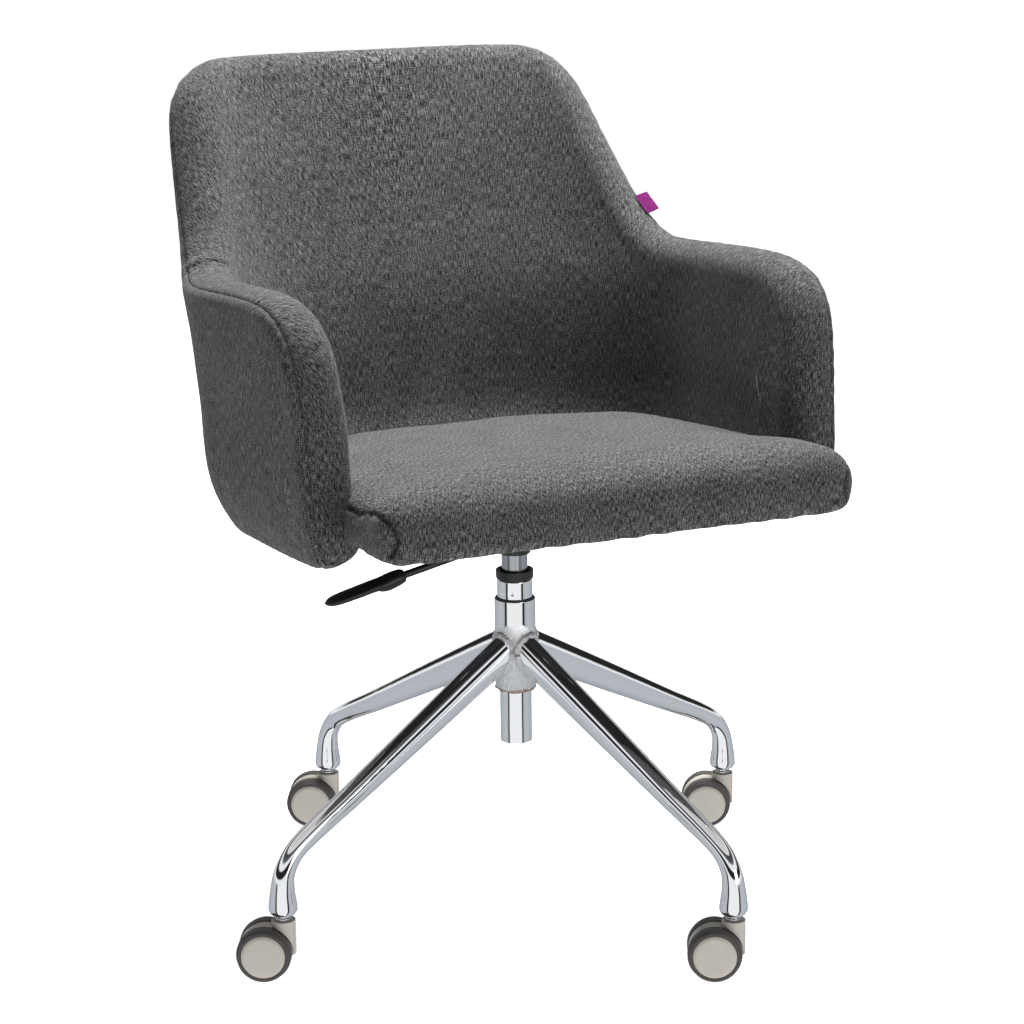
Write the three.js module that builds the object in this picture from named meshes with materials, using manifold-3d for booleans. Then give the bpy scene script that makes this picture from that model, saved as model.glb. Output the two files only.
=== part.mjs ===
// Swivel tub armchair: a padded shell and seat on a gas lift, a four-legged tube base and twin-wheel castors.
// Millimetres, +Z up. The sitter faces -Y and has +X on the left.
// The origin is on the floor under the column.

import * as THREE from 'three';
import { mergeVertices } from 'three/addons/utils/BufferGeometryUtils.js';
import Module from 'manifold-3d';

const wasm = await Module();
wasm.setup();

// ---------------------------------------------------------------- driving dimensions

const GAP = 0.3; // clearance between pieces that touch
const PAST = 10; // how far a cutting tool reaches past what it cuts
const DEG = Math.PI / 180;

// Base
const LEG_COUNT = 4;
const FIRST_LEG_ANGLE = 18.6 * DEG; // direction of the first leg, from +X
const STEM_RADIUS = 288.9; // castor stems, from the column's axis
const HUB = { radius: 19.7, bore: 17.4, bottom: 212, top: 300 };
const LEG_WALL = 1.8;
const LEG_SIDES = 10;
// one row a section: distance from the column, height, half depth, half width
const LEG_SECTIONS = [
  [12, 251, 17, 11.5],
  [50, 231.5, 16.3, 11.4],
  [130, 190.5, 14, 11],
  [210, 149.5, 11.2, 10.2],
  [254, 127.5, 9.8, 9.6],
  [275, 114, 9.3, 9.3],
  [286, 98, 9.7, 9.7],
  [STEM_RADIUS, 82, 11.2, 11.2],
  [STEM_RADIUS, 67, 13.1, 13.1],
  [STEM_RADIUS, 62, 12.8, 12.8],
  [STEM_RADIUS, 60, 11, 11],
];
const SOCKET = { radius: 6.6, bottom: 60.6, top: 92 };
const SOLID_FOOT_SECTIONS = 3; // the leg's last sections, which its hollow stops short of

// Castors
const CASTOR_HEADING = 153.6 * DEG; // the way all four castors trail
const TRAIL = 17; // from the stem to the axle
const WHEEL_RADIUS = 25;
const WHEEL_SIDES = 18;
const DISC_RADIUS = 20;
const WHEEL_INNER = 6.5; // the wheel's inner face, from the castor's middle plane
const WHEEL_OUTER = 22.3; // and its outer face
const DISC_EDGE = { depth: 0.5, width: 1.5 };
const TYRE = { inset: 0.4, shoulder: 3, drop: 2 };
const AXLE = { radius: 3, reach: 18.8, sides: 12 };
const STEM = { radius: 4, bottom: 34, top: 90, collarRadius: 7.5, collarBottom: 54.6, collarTop: 59.4 };
const HOOD = {
  thickness: 12, radius: 24, bottom: 9, barrelRadius: 11, barrelBottom: 22, webTop: 48, top: 54, sides: 18,
};

// Column and gas lift
const COLUMN_SIDES = 20;
const STAND = { radius: 17, footRadius: 15.3, bore: 14.7, footBore: 13.2, bottom: 158, top: 319 };
const STAND_NECK = { footTop: 206, bottom: 216, boreStep: 6 }; // the cone between the foot and the wider part
const END_PLATE = { bore: 4.6, bottom: 161, top: 163.5 }; // closes the stand's foot, carries the piston rod
const BUSH = { bottom: 272, top: 328, flange: 1 };
const BEARING = { radius: 11.5, bottom: 163.8, top: 168.5 };
const CLIP = { bore: 4.5, radius: 9, bottom: 158.6, top: 160.7 };
const CYLINDER = {
  radius: 12.5, bore: 10, bottom: 185, top: 352.5, endWall: 10, valveWall: 8, topTaper: 0.6,
};
const ROD_RADIUS = 4;
const ROD_COLLAR = { radius: 9, bottom: 168.8, top: 172 };
const PISTON = { radius: 9.6, bottom: 318, top: 330 };
const VALVE_PIN = { radius: 2.4, bottom: 338, top: 356.4, sides: 16 };

// Under the seat
const SOCKET_HUB = { radius: 21, lip: 15, lipHeight: 12, bore: 12.9, chamber: 14, bottom: 344, top: 395.2 };
const PLATE = { halfWidth: 90, halfDepth: 80, bottom: 395.5, thickness: 4, corner: 14 };
const BOLT_SPACING = 62; // half of the distance between the plate's bolts
const BOLT = { radius: 3, headRadius: 6, headHeight: 4, top: 411, sides: 12 };
const COVER = { bottom: 399.8, thickness: 1.4, inset: 4 };
const BOARD = {
  bottom: 401.5, thickness: 12, halfWidth: 190, reach: 178, front: -185, corner: 20, backSteps: 12,
};

// Lever: it tilts on a cross pin in the socket's wall
const LEVER = {
  pivotX: -17.5, pivotZ: 356.6, droop: 12.5 * DEG, rodRadius: 3.5, rodSides: 16, inner: 20, outer: -128,
};
const LEVER_SLOT = { halfWidth: 4.6, below: 8.6, above: 9.4 };
const LEVER_PIN = { radius: 1.5, bore: 1.85, halfLength: 9.5, sides: 12 };
const GRIP_SIDES = 14;
// one row a section of the grip: place along the lever, centre height, half height, half width
const GRIP_SECTIONS = [
  [-98, 0, 6.5, 7.5],
  [-101, 0, 7.2, 8.5],
  [-114, -1, 8, 9.5],
  [-122, -1, 7, 10],
  [-128, 0, 5.6, 10.5],
  [-145, -0.3, 5.2, 11],
  [-165, -0.6, 4.6, 10.5],
  [-174, -0.8, 3.4, 7.5],
  [-178, -1, 1.2, 3],
];

// Shell: its middle surface is a U in plan, with straight arms, that leans back and widens with height
const U_PLAN = { halfWidth: 262, depth: 202, steps: 400 }; // the U along which lengths are measured
const ARMS_FROM = 60; // in front of this y the U's sides are straight
const ROUNDNESS = 2.5; // exponent of the superellipse behind it
// above a height the exponent grows with it, by so much over the rise
const SQUARER = { from: 560, rise: 225, by: 1, most: 1.2 };
const ARM_TOE_IN = 0.022;
const HALF_WIDTH = [[360, 201], [380, 217], [400, 230], [425, 240], [460, 244], [500, 245], [550, 248],
  [620, 253], [700, 261], [800, 268]];
const BACK_REACH = [[360, 182], [380, 198], [400, 212], [430, 232], [480, 246], [550, 266], [620, 298],
  [700, 334], [800, 386]];
const PAD = 25; // from the middle surface to the cover, on either side
const OUTER_ROUND = 16; // how far in from the edge the outer side is rounded
const INNER_ROUND = 26;
const ROUND_EXPONENT = 2.3;
const EDGE_HALF = 0.6; // half of the shell's thickness right at its edge
const BOARD_HALF = 6; // half of the shell board's thickness
// the outline on one side, as distance along the U from the back's middle, and height
const TOP_EDGE = [[0, 783], [110, 783], [150, 781], [179, 771], [199, 753], [212, 730], [224, 704],
  [239, 675], [254, 649], [269, 629], [285, 615], [303, 608.5], [340, 609], [390, 614], [440, 618],
  [485, 620], [517, 618], [543, 611]];
const FRONT_EDGE = [[594, 400], [600, 425], [598.5, 450], [595, 480], [591, 520], [585, 551], [577.5, 574.5],
  [564, 595], [543, 611]];
const BOTTOM_EDGE = [[0, 365], [120, 366], [250, 370], [381, 378], [480, 384], [560, 391], [594, 400]];
// how far along the outline, and then up it, the shell's grid lines lie
const SHELL_COLUMNS = [0, 0.12, 0.22, 0.3, 0.37, 0.44, 0.5, 0.54, 0.58, 0.65, 0.75, 0.86, 0.93, 0.975, 1];
const SHELL_ROWS = [0, 0.03, 0.09, 0.2, 0.4, 0.6, 0.8, 0.91, 0.97, 1];
// points on the outline that distances to it are taken from
const OUTLINE_STEPS = { bottom: 60, front: 40, top: 70 };
const BOARD_EDGE_ROW = 2; // the shell board stops this many grid lines short of the outline
const BOARD_EDGE_COLUMN = 3;
const TAG = {
  along: 25, start: 3, proud: 13.5, thickness: 1.2, lean: 1,
  edgePoint: [265.8, 632.7], edgeDirection: [0.638, -0.77],
};

// Seat cushion: wider in front of the arms, with a top that slopes down to the back
const CUSHION = {
  front: -252, back: 192, halfWidth: 206, wing: 236, wingFrom: -146, wingFull: -174, corner: 34,
  bottom: 414, edgeHeight: 444, slope: -0.11, crown: 12, frontRound: 26, foot: 0.935, frontFoot: 3,
};
const CUSHION_ROWS = 15;
const CUSHION_COLUMNS = 12;
const ROW_CROWDING = 0.12; // draws the rows together towards the front and the back edge

// ---------------------------------------------------------------- geometry helpers

// Merges shared corners, drops the triangles that this flattens, and turns the faces outwards.
function tidy(source) {
  const geometry = source.clone();
  geometry.deleteAttribute('normal');
  geometry.deleteAttribute('uv');
  const merged = mergeVertices(geometry, 1e-4);
  const index = Array.from(merged.index.array);
  const kept = [];
  for (let i = 0; i < index.length; i += 3) {
    const [a, b, c] = index.slice(i, i + 3);
    if (a !== b && b !== c && c !== a) kept.push(a, b, c);
  }
  merged.setIndex(kept);
  if (volumeOf(merged) < 0) merged.setIndex(kept.reverse());
  return merged;
}

function volumeOf(geometry) {
  const [a, b, c] = [new THREE.Vector3(), new THREE.Vector3(), new THREE.Vector3()];
  const { index } = geometry;
  const { position } = geometry.attributes;
  let volume = 0;
  for (let i = 0; i < index.count; i += 3) {
    a.fromBufferAttribute(position, index.getX(i));
    b.fromBufferAttribute(position, index.getX(i + 1));
    c.fromBufferAttribute(position, index.getX(i + 2));
    volume += a.dot(b.cross(c)) / 6;
  }
  return volume;
}

function fromPoints(points, triangles) {
  const geometry = new THREE.BufferGeometry();
  const numbers = points.flatMap((point) => point.toArray());
  geometry.setAttribute('position', new THREE.Float32BufferAttribute(numbers, 3));
  geometry.setIndex(triangles.flat());
  return tidy(geometry);
}

// A closed solid between two grids of points with the same rows and columns.
function between(outer, inner) {
  const rows = outer.length;
  const columns = outer[0].length;
  const points = [...outer.flat(), ...inner.flat()];
  const far = rows * columns;
  const at = (i, j) => i * columns + j;
  const triangles = [];
  for (let i = 0; i < rows - 1; i += 1) {
    for (let j = 0; j < columns - 1; j += 1) {
      const [a, b, c, d] = [at(i, j), at(i, j + 1), at(i + 1, j + 1), at(i + 1, j)];
      triangles.push([a, b, c], [a, c, d], [far + a, far + c, far + b], [far + a, far + d, far + c]);
    }
  }
  const rim = [];
  for (let j = 0; j < columns - 1; j += 1) rim.push(at(0, j));
  for (let i = 0; i < rows - 1; i += 1) rim.push(at(i, columns - 1));
  for (let j = columns - 1; j > 0; j -= 1) rim.push(at(rows - 1, j));
  for (let i = rows - 1; i > 0; i -= 1) rim.push(at(i, 0));
  rim.forEach((a, k) => {
    const b = rim[(k + 1) % rim.length];
    triangles.push([b, a, far + a], [b, far + a, far + b]);
  });
  return fromPoints(points, triangles);
}

// A closed solid through rings of points, capped at both ends.
function loft(rings) {
  const sides = rings[0].length;
  const points = rings.flat();
  const triangles = [];
  for (let i = 0; i < rings.length - 1; i += 1) {
    for (let k = 0; k < sides; k += 1) {
      const next = (k + 1) % sides;
      const [a, b] = [i * sides + k, i * sides + next];
      triangles.push([a, b, b + sides], [a, b + sides, a + sides]);
    }
  }
  [rings[0], rings.at(-1)].forEach((ring, end) => {
    const centre = points.length;
    points.push(ring.reduce((sum, point) => sum.add(point), new THREE.Vector3()).divideScalar(sides));
    const start = end === 0 ? 0 : (rings.length - 1) * sides;
    for (let k = 0; k < sides; k += 1) {
      const [a, b] = [start + k, start + ((k + 1) % sides)];
      triangles.push(end === 0 ? [centre, b, a] : [centre, a, b]);
    }
  });
  return fromPoints(points, triangles);
}

// A turned solid about Z from [radius, height] corners. The profile closes on itself.
function turned(corners, sides = COLUMN_SIDES) {
  const profile = [...corners, corners[0]].map(([radius, height]) => new THREE.Vector2(radius, height));
  return tidy(new THREE.LatheGeometry(profile, sides).rotateX(Math.PI / 2));
}

function rod(radius, bottom, top, sides = COLUMN_SIDES) {
  return turned([[0, bottom], [radius, bottom], [radius, top], [0, top]], sides);
}

function ring(bore, radius, bottom, top, sides = COLUMN_SIDES) {
  return turned([[bore, bottom], [radius, bottom], [radius, top], [bore, top]], sides);
}

// A box given by its lowest and highest corners.
function block([x0, y0, z0], [x1, y1, z1]) {
  const box = new THREE.BoxGeometry(x1 - x0, y1 - y0, z1 - z0);
  return tidy(box.translate((x0 + x1) / 2, (y0 + y1) / 2, (z0 + z1) / 2));
}

// A flat plate from an outline in X and Y.
function plate(shape, bottom, thickness, curveSegments = 4) {
  const geometry = new THREE.ExtrudeGeometry(shape, { depth: thickness, bevelEnabled: false, curveSegments });
  return tidy(geometry.translate(0, 0, bottom));
}

function toSolid(geometry) {
  const vertProperties = new Float32Array(geometry.attributes.position.array);
  const triVerts = new Uint32Array(geometry.index.array);
  return new wasm.Manifold(new wasm.Mesh({ numProp: 3, vertProperties, triVerts }));
}

function cut(base, ...tools) {
  return toGeometry(tools.reduce((solid, tool) => solid.subtract(toSolid(tool)), toSolid(base)));
}

function join(base, ...others) {
  return toGeometry(others.reduce((solid, other) => solid.add(toSolid(other)), toSolid(base)));
}

function toGeometry(solid) {
  const { vertProperties, triVerts } = solid.getMesh();
  const geometry = new THREE.BufferGeometry();
  geometry.setAttribute('position', new THREE.Float32BufferAttribute(vertProperties, 3));
  geometry.setIndex(Array.from(triVerts));
  return tidy(geometry);
}

// A smooth curve through [x, y] pairs, read at x.
function smooth(pairs, x) {
  const last = pairs.length - 1;
  const slope = (i) => {
    const [before, after] = [pairs[Math.max(i - 1, 0)], pairs[Math.min(i + 1, last)]];
    return (after[1] - before[1]) / (after[0] - before[0]);
  };
  const i = Math.min(Math.max(pairs.findIndex((pair) => pair[0] > x) - 1, 0), last - 1);
  const [[x0, y0], [x1, y1]] = [pairs[i], pairs[i + 1]];
  const width = x1 - x0;
  const t = THREE.MathUtils.clamp((x - x0) / width, 0, 1);
  const s = 1 - t;
  return y0 * s * s * (1 + 2 * t) + y1 * t * t * (3 - 2 * t)
    + width * t * s * (slope(i) * s - slope(i + 1) * t);
}

// ---------------------------------------------------------------- materials

const MATERIALS = {
  fabric: [0x4a4b4d, 0.95, 0],
  tag: [0x6d1f75, 0.8, 0],
  chrome: [0xd6d8da, 0.08, 1],
  steel: [0x9fa2a5, 0.35, 1],
  black_steel: [0x141414, 0.45, 0.3],
  black_plastic: [0x101010, 0.5, 0],
  plywood: [0xb48a5a, 0.7, 0],
  cambric: [0x1a1a1a, 0.95, 0],
  castor_plastic: [0xcbc6bd, 0.45, 0],
  tyre: [0x4c4a4b, 0.6, 0],
};

function named(name, geometry, material) {
  const [color, roughness, metalness] = MATERIALS[material];
  const mesh = new THREE.Mesh(geometry, new THREE.MeshStandardMaterial({ color, roughness, metalness }));
  mesh.name = name;
  return mesh;
}

// ---------------------------------------------------------------- base

// Rings around the leg's centre line, each square to it. Inset makes the inside of the tube.
function legRings(inset) {
  return LEG_SECTIONS.map(([radius, height, halfDepth, halfWidth], i) => {
    const [r0, z0] = LEG_SECTIONS[Math.max(i - 1, 0)];
    const [r1, z1] = LEG_SECTIONS[Math.min(i + 1, LEG_SECTIONS.length - 1)];
    const slope = Math.atan2(z1 - z0, r1 - r0);
    return Array.from({ length: LEG_SIDES }, (_, k) => {
      const angle = (2 * Math.PI * k) / LEG_SIDES;
      const up = (halfDepth - inset) * Math.sin(angle);
      const side = (halfWidth - inset) * Math.cos(angle);
      return new THREE.Vector3(radius - up * Math.sin(slope), -side, height + up * Math.cos(slope));
    });
  });
}

function makeLegs() {
  const hubClearance = rod(HUB.radius + GAP, HUB.bottom - PAST, HUB.top + PAST);
  const neckBore = rod(SOCKET.radius + GAP, SOCKET.bottom - PAST, SOCKET.top + 2, LEG_SIDES)
    .translate(STEM_RADIUS, 0, 0);
  const inside = legRings(LEG_WALL).slice(0, -SOLID_FOOT_SECTIONS);
  const leg = cut(loft(legRings(0)), loft(inside), hubClearance, neckBore);
  const sleeve = ring(STEM.radius + GAP, SOCKET.radius, SOCKET.bottom, SOCKET.top, LEG_SIDES);
  const stem = turned([
    [0, STEM.bottom], [STEM.radius, STEM.bottom], [STEM.radius, STEM.collarBottom],
    [STEM.collarRadius, STEM.collarBottom], [STEM.collarRadius, STEM.collarTop],
    [STEM.radius, STEM.collarTop], [STEM.radius, STEM.top], [0, STEM.top],
  ], LEG_SIDES);
  const legs = new THREE.Group();
  for (let i = 0; i < LEG_COUNT; i += 1) {
    const arm = new THREE.Group();
    arm.rotation.z = FIRST_LEG_ANGLE + (i * 2 * Math.PI) / LEG_COUNT;
    const socket = named(`castor_socket_${i + 1}`, sleeve, 'black_plastic');
    const pin = named(`castor_stem_${i + 1}`, stem, 'steel');
    socket.position.x = STEM_RADIUS;
    pin.position.x = STEM_RADIUS;
    arm.add(named(`leg_${i + 1}`, leg, 'chrome'), socket, pin);
    legs.add(arm);
  }
  return legs;
}

function makeColumn() {
  const column = new THREE.Group();
  const hub = ring(HUB.bore, HUB.radius, HUB.bottom, HUB.top);
  const stand = turned([
    [STAND.footRadius, STAND.bottom], [STAND.footRadius, STAND_NECK.footTop],
    [STAND.radius, STAND_NECK.bottom], [STAND.radius, STAND.top],
    [STAND.bore, STAND.top], [STAND.bore, STAND_NECK.bottom - STAND_NECK.boreStep],
    [STAND.footBore, STAND_NECK.bottom - 2 * STAND_NECK.boreStep], [STAND.footBore, END_PLATE.top],
    [END_PLATE.bore, END_PLATE.top], [END_PLATE.bore, END_PLATE.bottom],
    [STAND.footBore, END_PLATE.bottom], [STAND.footBore, STAND.bottom],
  ]);
  const seat = STAND.top + GAP;
  const bush = turned([
    [CYLINDER.radius + GAP, BUSH.bottom], [STAND.bore - GAP, BUSH.bottom], [STAND.bore - GAP, seat],
    [STAND.radius + BUSH.flange, seat], [STAND.radius + BUSH.flange, BUSH.top],
    [CYLINDER.radius + GAP, BUSH.top],
  ]);
  column.add(
    named('hub_tube', hub, 'chrome'),
    named('stand_tube', stand, 'chrome'),
    named('guide_bush', bush, 'black_plastic'),
    named('thrust_bearing', ring(END_PLATE.bore, BEARING.radius, BEARING.bottom, BEARING.top), 'steel'),
    named('retaining_clip', ring(CLIP.bore, CLIP.radius, CLIP.bottom, CLIP.top), 'steel'),
  );
  return column;
}

function makeGasLift() {
  const lift = new THREE.Group();
  const pistonRod = turned([
    [0, CLIP.bottom], [ROD_RADIUS, CLIP.bottom], [ROD_RADIUS, ROD_COLLAR.bottom],
    [ROD_COLLAR.radius, ROD_COLLAR.bottom], [ROD_COLLAR.radius, ROD_COLLAR.top], [ROD_RADIUS, ROD_COLLAR.top],
    [ROD_RADIUS, PISTON.bottom], [PISTON.radius, PISTON.bottom], [PISTON.radius, PISTON.top], [0, PISTON.top],
  ]);
  const { radius, bore, bottom, top, endWall, valveWall, topTaper } = CYLINDER;
  const glandBore = ROD_RADIUS + GAP;
  const pinBore = VALVE_PIN.radius + GAP;
  const cylinder = turned([
    [glandBore, bottom], [radius, bottom], [radius, top - valveWall], [radius - topTaper, top],
    [pinBore, top], [pinBore, top - valveWall], [bore, top - valveWall], [bore, bottom + endWall],
    [glandBore, bottom + endWall],
  ]);
  lift.add(
    named('piston_rod', pistonRod, 'steel'),
    named('gas_cylinder', cylinder, 'steel'),
    named('valve_pin', rod(VALVE_PIN.radius, VALVE_PIN.bottom, VALVE_PIN.top, VALVE_PIN.sides), 'steel'),
  );
  return lift;
}

// ---------------------------------------------------------------- castors

// A turned solid about the axle, which lies along Y through the origin. Its lowest facet is level.
function turnedOnAxle(corners) {
  const grow = 1 / Math.cos(Math.PI / WHEEL_SIDES);
  const profile = [...corners, corners[0]].map(([radius, y]) => new THREE.Vector2(radius * grow, y));
  return tidy(new THREE.LatheGeometry(profile, WHEEL_SIDES, Math.PI / WHEEL_SIDES));
}

function aboutAxle(geometry) {
  return tidy(geometry.rotateX(Math.PI / 2).translate(TRAIL, 0, WHEEL_RADIUS));
}

// A flat cheek between the wheels and an upright barrel for the stem, hollowed where the wheels turn.
function makeHood() {
  const half = HOOD.thickness / 2;
  const cheek = aboutAxle(rod(HOOD.radius, -half, half, HOOD.sides));
  const web = block([1 - HOOD.barrelRadius, -half, HOOD.barrelBottom], [TRAIL, half, HOOD.webTop]);
  const barrel = rod(HOOD.barrelRadius, HOOD.barrelBottom, HOOD.top, HOOD.sides);
  const wheelRooms = [[half, WHEEL_OUTER], [-WHEEL_OUTER, -half]].map(([from, to]) => (
    aboutAxle(rod(WHEEL_RADIUS + 1, from, to, HOOD.sides))));
  const underside = block([-PAST, -PAST, -PAST], [TRAIL + HOOD.radius + PAST, PAST, HOOD.bottom]);
  const stemBore = rod(STEM.radius + GAP, STEM.bottom - 2, HOOD.top + PAST, LEG_SIDES);
  const axleBore = aboutAxle(rod(AXLE.radius + GAP, -WHEEL_OUTER, WHEEL_OUTER, AXLE.sides));
  return cut(join(cheek, web, barrel), ...wheelRooms, underside, stemBore, axleBore);
}

function makeCastors() {
  const hood = makeHood();
  const axle = aboutAxle(rod(AXLE.radius, -AXLE.reach, AXLE.reach, AXLE.sides));
  const bore = AXLE.radius + GAP;
  const disc = turnedOnAxle([
    [bore, WHEEL_INNER], [DISC_RADIUS, WHEEL_INNER], [DISC_RADIUS, WHEEL_OUTER - DISC_EDGE.depth],
    [DISC_RADIUS - DISC_EDGE.width, WHEEL_OUTER], [0, WHEEL_OUTER], [0, AXLE.reach + GAP],
    [bore, AXLE.reach + GAP],
  ]);
  const tread = [WHEEL_INNER + 2 * TYRE.inset, WHEEL_OUTER - TYRE.shoulder];
  const tyre = turnedOnAxle([
    [DISC_RADIUS + GAP, WHEEL_INNER + TYRE.inset], [WHEEL_RADIUS, tread[0]], [WHEEL_RADIUS, tread[1]],
    [WHEEL_RADIUS - TYRE.drop, tread[1] + TYRE.drop], [DISC_RADIUS + GAP, WHEEL_OUTER - TYRE.inset],
  ]);
  const castors = new THREE.Group();
  for (let i = 0; i < LEG_COUNT; i += 1) {
    const angle = FIRST_LEG_ANGLE + (i * 2 * Math.PI) / LEG_COUNT;
    const castor = new THREE.Group();
    castor.position.set(STEM_RADIUS * Math.cos(angle), STEM_RADIUS * Math.sin(angle), 0);
    castor.rotation.z = CASTOR_HEADING;
    castor.add(named(`castor_hood_${i + 1}`, hood, 'castor_plastic'));
    castor.add(named(`castor_axle_${i + 1}`, axle, 'steel'));
    for (const [side, turn] of [['a', 0], ['b', Math.PI]]) {
      const wheel = new THREE.Group();
      wheel.position.set(TRAIL, 0, WHEEL_RADIUS);
      wheel.rotation.z = turn;
      wheel.add(named(`castor_wheel_${i + 1}${side}`, disc, 'castor_plastic'));
      wheel.add(named(`castor_tyre_${i + 1}${side}`, tyre, 'tyre'));
      castor.add(wheel);
    }
    castors.add(castor);
  }
  return castors;
}

// ---------------------------------------------------------------- under the seat

function roundedRectangle(halfWidth, halfDepth, corner) {
  const shape = new THREE.Shape();
  shape.moveTo(-halfWidth + corner, -halfDepth);
  shape.lineTo(halfWidth - corner, -halfDepth);
  shape.absarc(halfWidth - corner, -halfDepth + corner, corner, -Math.PI / 2, 0);
  shape.absarc(halfWidth - corner, halfDepth - corner, corner, 0, Math.PI / 2);
  shape.absarc(-halfWidth + corner, halfDepth - corner, corner, Math.PI / 2, Math.PI);
  shape.absarc(-halfWidth + corner, -halfDepth + corner, corner, Math.PI, 1.5 * Math.PI);
  return shape;
}

// The seat board's outline: straight in front and at the sides, a superellipse behind.
function seatOutline(inset) {
  const halfWidth = BOARD.halfWidth - inset;
  const depth = BOARD.reach - inset - ARMS_FROM;
  const front = BOARD.front + inset;
  const { corner, backSteps } = BOARD;
  const shape = new THREE.Shape();
  shape.moveTo(-halfWidth + corner, front);
  shape.lineTo(halfWidth - corner, front);
  shape.absarc(halfWidth - corner, front + corner, corner, -Math.PI / 2, 0);
  for (let i = 0; i <= backSteps; i += 1) {
    const angle = (Math.PI * i) / backSteps;
    const x = halfWidth * Math.sign(Math.cos(angle)) * Math.abs(Math.cos(angle)) ** (2 / ROUNDNESS);
    shape.lineTo(x, ARMS_FROM + depth * Math.sin(angle) ** (2 / ROUNDNESS));
  }
  shape.absarc(-halfWidth + corner, front + corner, corner, Math.PI, 1.5 * Math.PI);
  return shape;
}

const boltPlaces = [[-1, -1], [1, -1], [1, 1], [-1, 1]].map(([x, y]) => [x * BOLT_SPACING, y * BOLT_SPACING]);

function withBoltHoles(shape) {
  for (const [x, y] of boltPlaces) {
    const hole = new THREE.Path();
    hole.absarc(x, y, BOLT.radius + GAP, 0, 2 * Math.PI, true);
    shape.holes.push(hole);
  }
  return shape;
}

function makeSeatSupport() {
  const support = new THREE.Group();
  const plateShape = withBoltHoles(roundedRectangle(PLATE.halfWidth, PLATE.halfDepth, PLATE.corner));
  const coverShape = withBoltHoles(seatOutline(COVER.inset));
  const boardShape = withBoltHoles(seatOutline(0));
  support.add(
    named('seat_plate', plate(plateShape, PLATE.bottom, PLATE.thickness), 'black_steel'),
    named('underside_cover', plate(coverShape, COVER.bottom, COVER.thickness), 'cambric'),
    named('seat_board', plate(boardShape, BOARD.bottom, BOARD.thickness), 'plywood'),
  );
  const headTop = PLATE.bottom - GAP;
  const bolt = turned([
    [0, headTop - BOLT.headHeight], [BOLT.headRadius, headTop - BOLT.headHeight], [BOLT.headRadius, headTop],
    [BOLT.radius, headTop], [BOLT.radius, BOLT.top], [0, BOLT.top],
  ], BOLT.sides);
  boltPlaces.forEach(([x, y], i) => {
    const mesh = named(`plate_bolt_${i + 1}`, bolt, 'steel');
    mesh.position.set(x, y, 0);
    support.add(mesh);
  });
  support.add(named('plate_hub', makeSocketHub(), 'black_steel'));
  return support;
}

// The casting that takes the top of the gas lift, slotted for the lever.
function makeSocketHub() {
  const { radius, lip, lipHeight, bore, chamber, bottom, top } = SOCKET_HUB;
  const shoulder = CYLINDER.top + GAP;
  const body = turned([
    [bore, bottom], [lip, bottom], [radius, bottom + lipHeight], [radius, top], [chamber, top],
    [chamber, shoulder], [bore, shoulder],
  ]);
  const { halfWidth, below, above } = LEVER_SLOT;
  const leverSlot = block(
    [-radius - 2, -halfWidth, LEVER.pivotZ - below],
    [0, halfWidth, LEVER.pivotZ + above],
  );
  const reach = LEVER_PIN.halfLength + GAP;
  const pinBore = acrossY(LEVER_PIN.bore, reach).translate(LEVER.pivotX, 0, LEVER.pivotZ);
  return cut(body, leverSlot, pinBore);
}

// A thin rod along Y, as long on either side of the origin.
function acrossY(radius, halfLength) {
  return tidy(rod(radius, -halfLength, halfLength, LEVER_PIN.sides).rotateX(Math.PI / 2));
}

function makeLever() {
  const { pivotX, pivotZ, droop, rodRadius, rodSides, inner, outer } = LEVER;
  const alongX = (geometry) => tidy(geometry.rotateY(Math.PI / 2));
  const pinHole = acrossY(LEVER_PIN.bore, rodRadius + PAST);
  const leverRod = cut(alongX(rod(rodRadius, outer, inner, rodSides)), pinHole);
  const rings = GRIP_SECTIONS.map(([x, z, halfHeight, halfWidth]) => (
    Array.from({ length: GRIP_SIDES }, (_, k) => {
      const angle = (2 * Math.PI * k) / GRIP_SIDES;
      return new THREE.Vector3(x, halfWidth * Math.cos(angle), z + halfHeight * Math.sin(angle));
    })));
  const mouth = GRIP_SECTIONS[0][0];
  const grip = cut(loft(rings), alongX(rod(rodRadius + GAP, outer - 1, mouth + PAST, rodSides)));
  const lever = new THREE.Group();
  lever.position.set(pivotX, 0, pivotZ);
  lever.rotation.y = -droop;
  lever.add(named('lever_rod', leverRod, 'black_steel'), named('lever_grip', grip, 'black_plastic'));
  const pin = named('lever_pin', acrossY(LEVER_PIN.radius, LEVER_PIN.halfLength), 'steel');
  pin.position.set(pivotX, 0, pivotZ);
  const group = new THREE.Group();
  group.add(lever, pin);
  return group;
}

// ---------------------------------------------------------------- upholstery

// The U's quarter behind the arms, as steps of arc length and the angle that each belongs to.
const U_STEPS = (() => {
  const { halfWidth, depth } = U_PLAN;
  const steps = [{ length: 0, angle: 0 }];
  let [x0, y0] = [0, depth];
  for (let i = 1; i <= U_PLAN.steps; i += 1) {
    const angle = (Math.PI / 2) * (i / U_PLAN.steps);
    const x = halfWidth * Math.sin(angle) ** (2 / ROUNDNESS);
    const y = depth * Math.max(Math.cos(angle), 0) ** (2 / ROUNDNESS);
    steps.push({ length: steps[i - 1].length + Math.hypot(x - x0, y - y0), angle });
    [x0, y0] = [x, y];
  }
  return steps;
})();
const ARM_START = U_STEPS.at(-1).length;

function angleAlongU(length) {
  const i = Math.max(U_STEPS.findIndex((step) => step.length > length), 1);
  if (length >= ARM_START) return Math.PI / 2;
  const [before, after] = [U_STEPS[i - 1], U_STEPS[i]];
  const part = (length - before.length) / (after.length - before.length);
  return before.angle + part * (after.angle - before.angle);
}

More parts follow.
